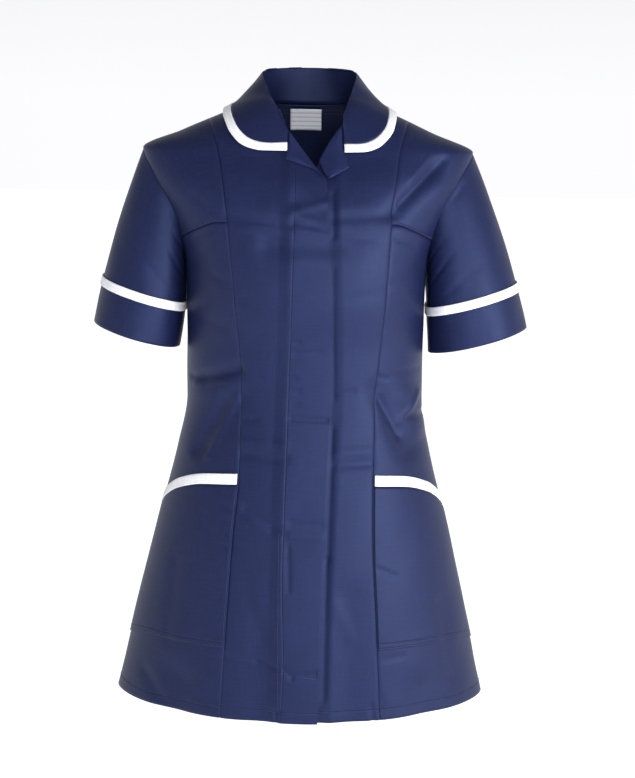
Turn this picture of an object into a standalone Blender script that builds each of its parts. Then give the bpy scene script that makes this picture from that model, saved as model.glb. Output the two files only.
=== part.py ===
"""Navy healthcare work tunic with white bindings, in its worn shape with nobody in it.

X runs to the wearer's left, the front faces -Y and Z is up. The origin is the middle of the
neck at the height of the shoulder seams' inner ends, where the wearer's shoulders hold it.
Tables are in millimetres, from the hem up; MM turns them into metres when a mesh is made.
"""
import bpy
import numpy as np

for old in list(bpy.data.objects):
    bpy.data.objects.remove(old, do_unlink=True)

MM = 0.001
LEFT, RIGHT = 1, -1            # the wearer's sides; LEFT lies at +X

# Walls and gaps
WALL = 1.2                     # one cloth wall
DOUBLE_WALL = 1.6              # folded cloth: collar and cuffs
TRIM_WALL = 1.0                # tape, zip band, label
SEAM_GAP = 0.8                 # between two pieces sewn edge to edge
ARMHOLE_GAP = 1.0              # from the panels to the sleeve's top ring
LAYER_GAP = 0.8                # between a piece and the panel that it lies on
BINDING_SWELL = 0.3            # folded binding is thicker than the cloth inside it by this much

# Heights
HEM_Z = -752
UNDERARM_Z = -194
SHOULDER_Z = -62               # outer end of the shoulder seam
PRINCESS_TOP_Z = -24           # where the princess seam meets the shoulder seam

# One row for each level of the body, from the hem up. Each level is the curve
# |x / half_width|^x_power + |y / depth|^y_power = 1; powers under 2 pinch it at the side seams.
BODY = np.array([
    # z, half_width, front_depth, back_depth, x_power, y_power
    (-752, 236, 132, 134, 2.00, 1.65),
    (-640, 210, 128, 131, 2.05, 1.80),
    (-515, 180, 121, 126, 2.10, 1.95),
    (-430, 158, 113, 114, 2.15, 2.10),
    (-365, 147, 106, 99, 2.20, 2.20),
    (-300, 147, 112, 100, 2.20, 2.20),
    (-235, 148, 127, 107, 2.30, 2.30),
    (-194, 150, 131, 112, 2.35, 2.35),
    (-140, 169, 123, 114, 2.45, 2.45),
    (-100, 192, 108, 112, 2.55, 2.55),
    (-62, 202, 86, 101, 2.60, 2.60),
    (-40, 154, 76, 92, 2.60, 2.60),
    (-20, 109, 66, 80, 2.60, 2.60),
    (2, 60, 55, 62, 2.60, 2.60),
])
Z, HALF_WIDTH, FRONT_DEPTH, BACK_DEPTH, X_POWER, Y_POWER = range(6)

# Princess seams of the front: distance from the middle on each side
PRINCESS = np.array([
    # z, right_x, left_x
    (-752, 97, 101),
    (-640, 91, 94),
    (-515, 83, 87),
    (-447, 77, 86),
    (-365, 76, 87),
    (-300, 78, 91),
    (-235, 84, 96),
    (-144, 93, 101),
    (-62, 106, 109),
    (-24, 121, 121),
])
PRINCESS_X = {RIGHT: 1, LEFT: 2}

# Front edge of the wearer's right front, which lies on top, and of the left one below it
FLY_EDGE = np.array([
    # z, edge_x, under_edge_x
    (-752, 23, -21),
    (-600, 25, -22),
    (-450, 29, -20),
    (-360, 32, -18),
    (-200, 28, -15),
    (-95, 23, -16),
])
EDGE_X, UNDER_EDGE_X = 1, 2
FLY_RISE = 3.0                 # the fly stands out and the underlap sinks by this much
FLY_RAMP = 12                  # width of the step from the plain panel to the fly
FLY_LEAD = 1.3                 # the step lies this many widths outside the other front's edge

# Bust seam of the side fronts: height by distance from the middle
BUST_SEAM = np.array([
    # x, z
    (90, -143.5),
    (107, -145),
    (129, -153.5),
    (156, -168),
])
BUST_AT_ARMHOLE = np.radians(126)     # the armhole's angle at which the bust seam meets it

# Armhole: an oval seen from the side, laid on the body surface. Its turn is 0 at the shoulder
# and pi at the underarm, and panels and sleeves share these stops, so their edges match.
ARMHOLE_REACH = {"front": 56, "back": 62}
UPPER_TURNS = np.linspace(0, BUST_AT_ARMHOLE, 9)
LOWER_TURNS = np.linspace(BUST_AT_ARMHOLE, np.pi, 5)
BACK_TURNS = np.linspace(np.pi, 2 * np.pi, 13)
SIDE_SEAM_ROWS = 17
SIDE_CROWDING = 1.3            # columns lie closer together towards the side seams

# Neckline of each side, from the collar's front end to the middle of the back: body angle
# (-90 is the front, 0 the side and 90 the back) and height
NECKLINE = {
    RIGHT: np.array([(-84.8, -38), (-80, -23), (-70, -12), (-53, -3), (-27, 0.3), (0, 0),
                     (25, -1), (50, -4), (70, -7), (90, -8)]),
    LEFT: np.array([(-76.6, -28), (-72, -17), (-63, -9), (-50, -3), (-27, 0.3), (0, 0),
                    (25, -1), (50, -4), (70, -7), (90, -8)]),
}
# Roll lines, from the collar's ends down to where the fronts close: x and z
ROLL_LINE = {
    RIGHT: np.array([(-23, -38), (-11, -53), (6, -75), (23, -95)]),
    LEFT: np.array([(41, -28), (26, -49), (13, -73), (0, -97), (-16, -118)]),
}

# Sleeves: tips of the cuff hem seen from the front, and its half depth
CUFF_HEM = {
    # outer_x, outer_z, inner_x, inner_z, half_depth
    RIGHT: (264, -276, 157, -307, 62),
    LEFT: (276, -275, 154, -309, 62),
}
CUFF_HEIGHT = 50               # hem to the seam with the sleeve
TAPE_LOW, TAPE_TOP = 47, 58    # the white tape over that seam, above the hem
SLEEVE_SWELL = 5               # how far the sleeve's outer line bows out between its ends
INNER_SWELL = {RIGHT: 3.5, LEFT: 1.0}     # and its inner line, towards the body

# Collar: one row for each station, from the middle of the back (0) to the front end (1). The
# fold is a point in space, and the outer edge is a place in plan that drops onto the body.
COLLAR = {
    RIGHT: np.array([
        # station, fold_x, fold_y, fold_z, edge_x, edge_y
        (0.00, 0, 72, 38.5, 0, 95),
        (0.07, 16, 71, 38.4, 22, 94),
        (0.14, 30, 66, 38.0, 43, 87),
        (0.28, 51, 46, 36.5, 78, 62),
        (0.42, 57, 20, 33.0, 97, 23),
        (0.53, 55, -4, 25.5, 101, -8),
        (0.64, 49, -26, 14.5, 101, -38),
        (0.75, 41, -47, -1.0, 95, -64),
        (0.85, 33, -62, -15.0, 80, -79),
        (0.93, 28, -71, -26.0, 53, -85),
        (1.00, 24, -79, -36.0, 24, -86),
    ]),
    LEFT: np.array([
        (0.00, 0, 72, 38.5, 0, 95),
        (0.07, 16, 71, 38.4, 22, 94),
        (0.14, 30, 66, 38.0, 43, 87),
        (0.28, 51, 46, 36.5, 78, 62),
        (0.42, 57, 20, 33.0, 97, 23),
        (0.53, 56, -4, 26.5, 103, -8),
        (0.64, 52, -26, 16.0, 104, -38),
        (0.75, 47, -45, 2.0, 101, -62),
        (0.85, 44, -58, -10.0, 89, -77),
        (0.93, 42, -67, -19.0, 68, -84),
        (1.00, 41, -75, -27.0, 43.5, -86),
    ]),
}
FOLD_RADIUS = 3.0              # roundness of the collar's fold
SHOULDER_STATION = 0.46        # station at which the collar crosses the shoulder seam
COLLAR_LIFT = 4.4              # visible face of the collar above the body
NECK_CLEARANCE = (0.9, 1.4, 2.5)      # stand above the neckline: back, side and front end
COLLAR_BINDING = 10.5          # width of the white binding

REVER_BULGE = 1.6              # how far a rever bows up between its roll and its free edge
REVER_BASE = {RIGHT: FLY_RISE, LEFT: 0.6}     # height of the front that it lies on

# Revers: the fronts' top corners turned out, as rows from the collar's end to the closing point
REVERS = {
    RIGHT: np.array([
        # roll_x, roll_z, free_x, free_z
        (-20, -42, -22.2, -46),
        (-15, -49, -22.4, -55),
        (-8, -58, -26, -72),
        (4, -73.5, -5, -79),
        (13, -84, 7, -83),
        (21, -93, 18, -90.5),
    ]),
    LEFT: np.array([
        (37, -34, 40.6, -38),
        (32, -41, 40.8, -48),
        (25, -51, 42.2, -61),
        (13.5, -72, 50, -79),
        (19, -85, 36, -87),
        (25, -92.5, 27.5, -92),
    ]),
}

# Pockets: top and bottom edges by share of the way from the princess seam to the side seam
POCKET_TOP = np.array([(0, -446), (0.3, -449), (0.6, -460), (0.82, -476), (1, -496)])
POCKET_BOTTOM = np.array([(0, -663), (0.5, -665), (1, -680)])
POCKET_BINDING = 13            # height of the white binding at the pocket's mouth
POCKET_INSET = 1.2             # the pocket's inner edge from the princess seam
POCKET_OUTER_TURN = -2.0       # body angle of its outer edge, beside the side seam

ZIP_HALF_WIDTH = 11
ZIP_TOP_Z, ZIP_BOTTOM_Z = -128, -668

LABEL_X = (-24, 15.5)
LABEL_Z = (-38, -11)
LABEL_GAP = 1.5

# Columns of a centre front, by share of its width: the fly's step lies at the fourth and fifth
CENTRE_COLUMNS = (0, 0.12, 0.24, 0.36, 0.46, 0.57, 0.68, 0.79, 0.9, 1)

# The largest folds: a capsule along a line on one face, ridges positive and troughs negative
FOLDS = np.array([
    # face (1 back, -1 front), x0, z0, x1, z1, depth, half_width
    (-1, -120, -338, -82, -322, -4.0, 11),
    (-1, -80, -356, -118, -420, -3.5, 13),
    (-1, 88, -345, 130, -420, -4.0, 14),
    (-1, 128, -356, 142, -398, 3.0, 12),
    (-1, 150, -80, 104, -128, -4.5, 13),
    (-1, -12, -120, 14, -134, -2.5, 12),
    (-1, -42, -168, 40, -168, -3.5, 16),
    (-1, -150, -715, -156, -752, -4.0, 22),
    (-1, 152, -718, 158, -752, -4.0, 22),
    (-1, -50, -640, -48, -752, -3.0, 22),
    (-1, 58, -600, 62, -752, -3.5, 22),
    (1, -70, -330, -10, -352, -5.0, 12),
    (1, 12, -350, 78, -326, -4.5, 12),
    (1, -108, -372, -60, -388, 4.0, 13),
    (1, 60, -386, 112, -370, 4.0, 13),
    (1, -120, -560, -138, -752, -7.0, 30),
    (1, 0, -600, 4, -752, -6.0, 30),
    (1, 120, -570, 134, -752, -7.0, 30),
    (1, -122, -104, -70, -152, -3.0, 16),
    (1, 122, -100, 72, -150, -3.0, 16),
])
FACE_BLEND = 60                # depth over which a face's folds fade at the sides


def smooth(table, column, at):
    """Monotone cubic curve through a table's column, read at values of its first column."""
    x, y = table[:, 0], table[:, column]
    step = np.diff(x)
    slope = np.diff(y) / step
    same_way = slope[:-1] * slope[1:] > 0
    total = np.where(same_way, slope[:-1] + slope[1:], 1)
    middle = np.where(same_way, 2 * slope[:-1] * slope[1:] / total, 0)
    tangent = np.concatenate([slope[:1], middle, slope[-1:]])
    at = np.clip(at, x[0], x[-1])
    i = np.clip(np.searchsorted(x, at, side="right") - 1, 0, len(x) - 2)
    t = (at - x[i]) / step[i]
    return ((1 + 2 * t) * (1 - t) ** 2 * y[i] + t * (1 - t) ** 2 * step[i] * tangent[i]
            + t * t * (3 - 2 * t) * y[i + 1] - t * t * (1 - t) * step[i] * tangent[i + 1])


def level(z, y_or_face):
    """Half width, depth and powers of the body's section at a height."""
    front = np.asarray(y_or_face) < 0
    depth = np.where(front, smooth(BODY, FRONT_DEPTH, z), smooth(BODY, BACK_DEPTH, z))
    return smooth(BODY, HALF_WIDTH, z), depth, smooth(BODY, X_POWER, z), smooth(BODY, Y_POWER, z)


def body(angle, z):
    """x = w |cos a|^(2/m), y = d |sin a|^(2/n), with the signs of cos a and sin a (degrees)."""
    angle, z = np.broadcast_arrays(np.radians(angle), np.asarray(z, float))
    c, s = np.cos(angle), np.sin(angle)
    width, depth, m, n = level(z, s)
    x = width * np.sign(c) * np.abs(c) ** (2 / m)
    y = depth * np.sign(s) * np.abs(s) ** (2 / n)
    return np.stack([x, y, z], axis=-1)


def body_radius(p, z_shift=0.0):
    """(|x/w|^m + |y/d|^n)^(2/(m+n)), which is 1 on the body surface and grows outward."""
    width, depth, m, n = level(p[..., 2] + z_shift, p[..., 1])
    value = np.abs(p[..., 0] / width) ** m + np.abs(p[..., 1] / depth) ** n
    return value ** (2 / (m + n))


def body_normal(p):
    """Outward normal of the body surface, and the distance to it along that normal."""
    width, depth, m, n = level(p[..., 2], p[..., 1])
    radius = body_radius(p)
    nx = m * np.sign(p[..., 0]) * np.abs(p[..., 0] / width) ** (m - 1) / width
    ny = n * np.sign(p[..., 1]) * np.abs(p[..., 1] / depth) ** (n - 1) / depth
    power = (m + n) / 2
    scale = radius ** (1 - power) / power
    nz = (body_radius(p, 2.0) - body_radius(p, -2.0)) / 4.0
    gradient = np.stack([nx * scale, ny * scale, nz], axis=-1)
    slope = np.linalg.norm(gradient, axis=-1)
    return gradient / slope[..., None], (radius - 1) / slope


def settle(p):
    """Moves points along the normals onto the body surface."""
    for _ in range(8):
        normal, distance = body_normal(p)
        p = p - normal * distance[..., None]
    return p


def folds(p):
    """Sum of depth * exp(-(distance to the fold's line / half_width)^2) over the table."""
    total = np.zeros(p.shape[:-1])
    for face, x0, z0, x1, z1, depth, half_width in FOLDS:
        along_fold = np.array([x1 - x0, z1 - z0])
        offset = np.stack([p[..., 0] - x0, p[..., 2] - z0], axis=-1)
        share = np.clip(offset @ along_fold / (along_fold @ along_fold), 0, 1)
        distance = np.linalg.norm(offset - share[..., None] * along_fold, axis=-1)
        on_face = np.clip(0.5 + face * p[..., 1] / FACE_BLEND, 0, 1)
        total += on_face * depth * np.exp(-(distance / half_width) ** 2)
    return total


def lifted(p, side=LEFT, lift=0.0):
    """Body points of one side with the folds, moved out by lift. Also their normals."""
    p = p * np.array([side, 1, 1])
    normal, _ = body_normal(p)
    return p + normal * (folds(p) + lift)[..., None], normal


def clear_of_body(p, lift):
    """Moves points that lie less than lift outside the folded body surface out to it."""
    for _ in range(6):
        normal, distance = body_normal(p)
        short = np.where(p[..., 2] < 1, np.clip(lift + folds(p) - distance, 0, None), 0)
        p = p + normal * short[..., None]
    return p


def front_point(x, z):
    """Front point of the body at a distance x from the middle: y = -d (1 - |x/w|^m)^(1/n)."""
    x, z = np.broadcast_arrays(np.asarray(x, float), np.asarray(z, float))
    width, depth, m, n = level(z, -1)
    share = np.clip(np.abs(x) / width, 0, 1)
    return np.stack([np.sign(x) * width * share, -depth * (1 - share ** m) ** (1 / n), z], axis=-1)


def drop(x, y):
    """Body point below a place in plan, found by halving its range of heights."""
    low, high = np.full(x.shape, -150.0), np.full(x.shape, 2.0)
    for _ in range(30):
        middle = (low + high) / 2
        inside = body_radius(np.stack([x, y, middle], axis=-1)) < 1
        low, high = np.where(inside, middle, low), np.where(inside, high, middle)
    return np.stack([x, y, low], axis=-1)


def along(points, share, knots=None):
    """Points at shares 0..1 of a polyline, by its knots or else by equal steps."""
    knots = np.linspace(0, 1, len(points)) if knots is None else knots
    columns = [np.interp(share, knots, points[:, k]) for k in range(points.shape[1])]
    return np.stack(columns, axis=-1)


def evenly(points, share):
    """Points at shares 0..1 of a polyline's length."""
    run = np.concatenate([[0], np.cumsum(np.linalg.norm(np.diff(points, axis=0), axis=1))])
    return along(points, share, run / run[-1])


def patch(bottom, top, inner, outer, share=None):
    """Grid between four edges that meet at the corners (a Coons patch), on the body surface."""
    u = np.linspace(0, 1, len(bottom)) if share is None else share
    u, v = u[:, None, None], np.linspace(0, 1, len(inner))[None, :, None]
    across = (1 - v) * bottom[:, None] + v * top[:, None]
    up = (1 - u) * inner[None] + u * outer[None]
    corners = ((1 - u) * (1 - v) * bottom[0] + u * (1 - v) * bottom[-1]
               + (1 - u) * v * top[0] + u * v * top[-1])
    return settle(across + up - corners)


def princess(low_z, high_z, side):
    """Fine polyline up the princess seam."""
    z = np.linspace(low_z, high_z, 200)
    return front_point(smooth(PRINCESS, PRINCESS_X[side], z), z)


def armhole(turn):
    """Points of the armhole at +X: front turns are 0..pi and back turns pi..2 pi."""
    middle, half = (SHOULDER_Z + UNDERARM_Z) / 2, (SHOULDER_Z - UNDERARM_Z) / 2
    z = middle + half * np.cos(turn)
    reach = np.where(np.sin(turn) > 0, ARMHOLE_REACH["front"], ARMHOLE_REACH["back"])
    y = -reach * np.sin(turn)
    width, depth, m, n = level(z, y)
    return np.stack([width * (1 - (np.abs(y) / depth) ** n) ** (1 / m), y, z], axis=-1)


def bust_seam(share, side):
    """Points along the bust seam, from the princess seam to the armhole."""
    end = armhole(BUST_AT_ARMHOLE)
    start_x = smooth(PRINCESS, PRINCESS_X[side], BUST_SEAM[0, 1])
    x = start_x + (end[0] - start_x) * share
    seam = front_point(x, smooth(BUST_SEAM, 1, x))
    return seam + share[:, None] ** 3 * (end - seam[-1])


def neckline(angle, side):
    return body(angle, smooth(NECKLINE[side], 1, angle))


def shoulder_seam(high_z, low_z, count):
    z = np.linspace(high_z, low_z, count)
    return body(0.0, z)


def shrink(points, gap, sides):
    """Moves the named edges of a grid inward, so that two sewn pieces stay apart."""
    points = points.copy()
    moves = {"bottom": (np.s_[:, 0], np.s_[:, 1]), "top": (np.s_[:, -1], np.s_[:, -2]),
             "inner": (np.s_[0], np.s_[1]), "outer": (np.s_[-1], np.s_[-2])}
    for side in sides:
        edge, beside = moves[side]
        way = points[beside] - points[edge]
        points[edge] += way / np.linalg.norm(way, axis=-1, keepdims=True) * gap
    return points


ALL_EDGES = ("bottom", "top", "inner", "outer")
NO_EDGES = ()

tunic = bpy.data.collections.new("work_tunic")
bpy.context.scene.collection.children.link(tunic)


def finish(name, colour, roughness):
    material = bpy.data.materials.new(name)
    material.use_nodes = True
    shader = material.node_tree.nodes["Principled BSDF"]
    shader.inputs["Base Color"].default_value = (*colour, 1)
    shader.inputs["Roughness"].default_value = roughness
    shader.inputs["Metallic"].default_value = 0.0
    return material


NAVY = finish("navy_twill", (0.025, 0.038, 0.115), 0.8)
NAVY_INSIDE = finish("navy_twill_inside", (0.03, 0.04, 0.11), 0.85)
WHITE = finish("white_binding", (0.85, 0.86, 0.88), 0.75)
LABEL_WHITE = finish("white_woven_label", (0.8, 0.83, 0.88), 0.6)
ZIP_NAVY = finish("navy_zip_tape", (0.02, 0.03, 0.08), 0.6)


def cloth(name, points, outward, material, wall=WALL, ring=False):
    """Object from a grid of points in millimetres, thickened away from the outward normals."""
    across, up = points.shape[:2]
    index = np.arange(across * up).reshape(across, up)
    if ring:
        index = np.vstack([index, index[:1]])
    quads = np.stack([index[:-1, :-1], index[1:, :-1], index[1:, 1:], index[:-1, 1:]], axis=-1)
    du = points[1:, :-1] - points[:-1, :-1]
    dv = points[:-1, 1:] - points[:-1, :-1]
    agreement = (np.cross(du, dv) * outward[:-1, :-1]).sum()
    quads = quads.reshape(-1, 4)
    if agreement < 0:
        quads = quads[:, ::-1]
    mesh = bpy.data.meshes.new(name)
    mesh.from_pydata((points.reshape(-1, 3) * MM).tolist(), [], quads.tolist())
    mesh.shade_smooth()
    mesh.materials.append(material)
    obj = bpy.data.objects.new(name, mesh)
    tunic.objects.link(obj)
    thicken = obj.modifiers.new("wall", "SOLIDIFY")
    thicken.thickness = wall * MM
    thicken.offset = -1.0
    thicken.use_even_offset = False
    return obj


def side_name(side):
    return "left" if side == LEFT else "right"


def panel(name, grid, side, material=NAVY, lift=0.0, wall=WALL, edges=ALL_EDGES):
    """A body panel from its grid of points on one side, given at +X."""
    points, normal = lifted(grid, side, lift)
    points = shrink(points, SEAM_GAP / 2, edges)
    return cloth(name, points, normal, material, wall)


def fly_lift(grid, side):
    """The right front steps out over the fly and the left front steps in below it."""
    x, z = grid[..., 0] * side, grid[..., 2]
    if side == RIGHT:
        return FLY_RISE * np.clip((x - smooth(FLY_EDGE, UNDER_EDGE_X, z)) / FLY_RAMP + FLY_LEAD, 0, 1)
    return -FLY_RISE * np.clip((smooth(FLY_EDGE, EDGE_X, z) - x) / FLY_RAMP + FLY_LEAD, 0, 1)


def side_seam():
    return body(0.0, np.linspace(HEM_Z, UNDERARM_Z, SIDE_SEAM_ROWS))


def princess_stops(side):
    """Points up the princess seam that the three panels along it share."""
    lower = evenly(princess(HEM_Z, BUST_SEAM[0, 1], side),
                   np.linspace(0, 1, SIDE_SEAM_ROWS + len(LOWER_TURNS) - 1))
    upper = evenly(princess(BUST_SEAM[0, 1], PRINCESS_TOP_Z, side),
                   np.linspace(0, 1, len(UPPER_TURNS)))
    return np.vstack([lower, upper[1:]])


def centre_front(side):
    """Centre front of one side, from its front edge to the princess seam.

    Its top runs along the roll line, the neckline and the shoulder seam's inner part.
    """
    share = np.array(CENTRE_COLUMNS)
    roll = ROLL_LINE[side][::-1] * np.array([side, 1])
    outer = princess_stops(side)
    rows = len(outer)
    edge_z = np.linspace(HEM_Z, roll[0, 1], rows)
    edge_column = EDGE_X if side == RIGHT else UNDER_EDGE_X
    front_x = side * smooth(FLY_EDGE, edge_column, edge_z)
    front_x += np.linspace(0, 1, rows) ** 6 * (roll[0, 0] - front_x[-1])
    inner = front_point(front_x, edge_z)
    bottom = front_point(inner[0, 0] + (outer[0, 0] - inner[0, 0]) * share, HEM_Z)
    neck = neckline(np.linspace(NECKLINE[side][0, 0], 0, 60), side)
    top = np.vstack([
        front_point(*along(roll, np.linspace(0, 1, 5)).T)[:-1],
        evenly(neck, np.linspace(0, 1, 5)),
        outer[-1],
    ])
    grid = patch(bottom, top, inner, outer, share)
    panel(f"front_centre_{side_name(side)}", grid, side, lift=fly_lift(grid, side))


def side_front_upper(side, columns=9):
    share = np.linspace(0, 1, columns)
    bottom = bust_seam(share, side)
    top = shoulder_seam(PRINCESS_TOP_Z, SHOULDER_Z, columns)
    inner = princess_stops(side)[-len(UPPER_TURNS):]
    outer = armhole(UPPER_TURNS[::-1])
    panel(f"side_front_upper_{side_name(side)}", patch(bottom, top, inner, outer), side)


def side_front_lower(side, columns=9):
    share = 1 - (1 - np.linspace(0, 1, columns)) ** SIDE_CROWDING
    top = bust_seam(share, side)
    outer = np.vstack([side_seam(), armhole(LOWER_TURNS[::-1])[1:]])
    inner = princess_stops(side)[:len(outer)]
    hem = body(np.linspace(-90, 0, 200), HEM_Z)
    bottom = evenly(hem[hem[:, 0] > inner[0, 0]], share)
    bottom[0] = inner[0]
    panel(f"side_front_lower_{side_name(side)}", patch(bottom, top, inner, outer, share), side)


def back_panel(shoulder_columns=6, neck_columns=6):
    """The whole back: half of its grid is worked out and the other half is its mirror."""
    columns = shoulder_columns + neck_columns + 1
    share = np.linspace(0, 1, columns) ** SIDE_CROWDING
    inner = np.vstack([side_seam(), armhole(BACK_TURNS)[1:]])
    neck = neckline(np.linspace(0, 90, 60), LEFT)
    top = np.vstack([
        shoulder_seam(SHOULDER_Z, 0, shoulder_columns + 1)[:-1],
        evenly(neck, np.linspace(0, 1, neck_columns + 1)),
    ])
    bottom = evenly(body(np.linspace(0, 90, 200), HEM_Z), share)
    middle = evenly(body(90.0, np.linspace(HEM_Z, top[-1, 2], 200)), np.linspace(0, 1, len(inner)))
    inner[-1], middle[-1], top[0] = top[0], top[-1], top[0]
    left = patch(bottom, top, inner, middle, share)
    right = left[-2::-1] * np.array([-1, 1, 1])
    panel("back", np.vstack([left, right]), LEFT)


def sleeve_lines(side):
    """Armhole points, cuff hem points and outward directions of a sleeve's straight lines."""
    turn = np.concatenate([UPPER_TURNS, LOWER_TURNS[1:], BACK_TURNS[1:-1]])
    start, _ = lifted(armhole(turn), side)
    start = start + np.array([side * ARMHOLE_GAP, 0, 0])
    outer_x, outer_z, inner_x, inner_z, half_depth = CUFF_HEM[side]
    centre = np.array([(outer_x + inner_x) / 2 * side, 0, (outer_z + inner_z) / 2])
    half_span = np.array([(outer_x - inner_x) / 2 * side, 0, (outer_z - inner_z) / 2])
    cos, sin = np.cos(turn)[:, None], np.sin(turn)[:, None]
    radial = cos * half_span + sin * np.array([0, -half_depth, 0])
    outward = radial / np.linalg.norm(radial, axis=1, keepdims=True)
    inner_share = (0.5 - 0.5 * np.cos(turn)) ** 2
    swell = SLEEVE_SWELL * (0.5 + 0.5 * np.cos(turn)) ** 0.5 + INNER_SWELL[side] * inner_share
    return start, centre + radial, outward, swell


def sleeve_points(lines, height, lift=0.0):
    """Ring of points at a height above the cuff's hem, measured along the sleeve."""
    start, end, outward, swell = lines
    length = np.linalg.norm(start - end, axis=1)
    t = (1 - height / length)[:, None]
    return start * (1 - t) + end * t + outward * (4 * t * (1 - t) * swell[:, None] + lift)


def sleeve(side, rings=7):
    """Sleeve, cuff and tape of one side."""
    lines = sleeve_lines(side)
    length = np.linalg.norm(lines[0] - lines[1], axis=1)
    outward = lines[2][:, None]

    def tube(name, heights, material, wall, lift=0.0):
        points = np.stack([sleeve_points(lines, h, lift) for h in heights], axis=1)
        cloth(name, points, np.broadcast_to(outward, points.shape), material, wall, ring=True)

    name = side_name(side)
    low = CUFF_HEIGHT + SEAM_GAP
    tube(f"sleeve_{name}", [low + (length - low) * s for s in np.linspace(0, 1, rings)], NAVY, WALL)
    tube(f"cuff_{name}", np.linspace(0, CUFF_HEIGHT, 4), NAVY, DOUBLE_WALL)
    tube(f"cuff_tape_{name}", (TAPE_LOW, TAPE_TOP), WHITE, TRIM_WALL, TRIM_WALL + LAYER_GAP)


def collar_sections(side, stations):
    """Neck, fold and edge points of the collar at each station of one side."""
    table = COLLAR[side]
    fold = np.stack([smooth(table, k, stations) for k in (1, 2, 3)], axis=-1)
    edge = drop(smooth(table, 4, stations), smooth(table, 5, stations))
    neck = neckline(np.interp(stations, (0, SHOULDER_STATION, 1), (90, 0, NECKLINE[side][0, 0])), side)
    mirror = np.array([side, 1, 1])
    return neck * mirror, fold * mirror, edge * mirror


def collar_grid(stations=22, stand_rows=3, fall_rows=6):
    """Points of the whole collar, from its right front end round the back to the left one.

    Across, it runs up the stand, over a rounded fold and down the fall to the outer edge.
    """
    steps = np.linspace(0, 1, stations)
    halves = [collar_sections(side, steps) for side in (RIGHT, LEFT)]
    neck, fold, edge = (np.vstack([right[::-1], left[1:]]) for right, left in zip(*halves))
    up = fold - neck
    out = edge - fold
    height = np.linalg.norm(up, axis=1, keepdims=True)
    out_way = out / np.linalg.norm(out, axis=1, keepdims=True)
    up_way = up / height
    clearance = np.interp(np.abs(np.linspace(-1, 1, len(neck))), (0, 0.6, 1), NECK_CLEARANCE)
    neck = neck + up_way * clearance[:, None]
    radius = np.minimum(FOLD_RADIUS, height * 0.3)
    stand = [neck + (fold - up_way * radius - neck) * s for s in np.linspace(0, 1, stand_rows)]
    crown = [fold + out_way * radius * 0.12]
    start = fold + out_way * radius * 1.5
    fall = [start + (edge - start) * s for s in np.linspace(0, 1, fall_rows)]
    return np.stack(stand + crown + fall, axis=1), len(stand) + len(crown)


def collar():
    points, fall_start = collar_grid()
    fall = clear_of_body(points[:, fall_start:], COLLAR_LIFT)
    inner_edge, outer_edge = fall[:, 0], fall[:, -1]
    length = np.linalg.norm(outer_edge - inner_edge, axis=1, keepdims=True)
    share = 1 - COLLAR_BINDING / length[:, 0]
    rows = np.linspace(0, 1, fall.shape[1])

    def fall_at(shares):
        parts = [np.array([along(line, s, rows) for line, s in zip(fall, at)]) for at in shares]
        return clear_of_body(np.stack(parts, axis=1), COLLAR_LIFT)

    gap = SEAM_GAP / length[:, 0]
    navy_rows = [share * s - gap * s for s in np.linspace(0, 1, fall.shape[1])]
    leaf = np.concatenate([points[:, :fall_start], fall_at(navy_rows)], axis=1)
    up = np.broadcast_to(np.array([0.0, 0, 1]), leaf.shape).copy()
    up[:, :fall_start] = 0
    cloth("collar", leaf, up, NAVY, DOUBLE_WALL)
    band_rows = [share + (1 - share) * s for s in np.linspace(0, 1, 3)]
    band = fall_at(band_rows)
    cloth("collar_binding", band, up[:, fall_start:][:, :3], WHITE, DOUBLE_WALL + BINDING_SWELL)


def rever(side, across=4, rows_between=2):
    """Turned-out top corner of one front, lying on it."""
    table = REVERS[side]
    rows = along(table, np.linspace(0, 1, (len(table) - 1) * rows_between + 1))
    share = np.linspace(0, 1, across)[:, None]
    x = rows[:, 0] + (rows[:, 2] - rows[:, 0]) * share
    z = rows[:, 1] + (rows[:, 3] - rows[:, 1]) * share
    lift = REVER_BASE[side] + LAYER_GAP + WALL + REVER_BULGE * np.sin(np.pi * share)
    points, normal = lifted(front_point(x * side, z), side, np.broadcast_to(lift, x.shape))
    cloth(f"rever_{side_name(side)}", points, normal, NAVY_INSIDE, WALL)


def pocket(side, columns=9, rows=10):
    """Patch pocket and the binding of its mouth, laid on the side front."""
    share = np.linspace(0, 1, columns)

    def strip(top_z, bottom_z, count):
        up = np.linspace(0, 1, count)
        z = bottom_z[:, None] + (top_z - bottom_z)[:, None] * up
        width, _, m, _ = level(z, -1)
        start = smooth(PRINCESS, PRINCESS_X[side], z) + POCKET_INSET
        start_turn = np.degrees(np.arccos((start / width) ** (m / 2)))
        return body(POCKET_OUTER_TURN * share[:, None] - start_turn * (1 - share[:, None]), z)

    top = smooth(POCKET_TOP, 1, share)
    seam = top - POCKET_BINDING
    bottom = smooth(POCKET_BOTTOM, 1, share)
    name = side_name(side)
    lift = WALL + LAYER_GAP
    panel(f"pocket_{name}", strip(seam - SEAM_GAP, bottom, rows), side, lift=lift, edges=NO_EDGES)
    mouth = strip(top, seam, 3)
    swell = BINDING_SWELL
    panel(f"pocket_binding_{name}", mouth, side, WHITE, lift + swell, WALL + swell, edges=NO_EDGES)


def zip_band(rows=24):
    """Plain band of the concealed fastening, between the two fronts."""
    z = np.linspace(ZIP_BOTTOM_Z, ZIP_TOP_Z, rows)
    middle = (smooth(FLY_EDGE, EDGE_X, z) + smooth(FLY_EDGE, UNDER_EDGE_X, z)) / 2
    x = middle + np.linspace(-1, 1, 3)[:, None] * ZIP_HALF_WIDTH
    lift = (TRIM_WALL - WALL) / 2
    points, normal = lifted(front_point(x, z), LEFT, lift)
    cloth("front_zip", points, normal, ZIP_NAVY, TRIM_WALL)


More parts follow.
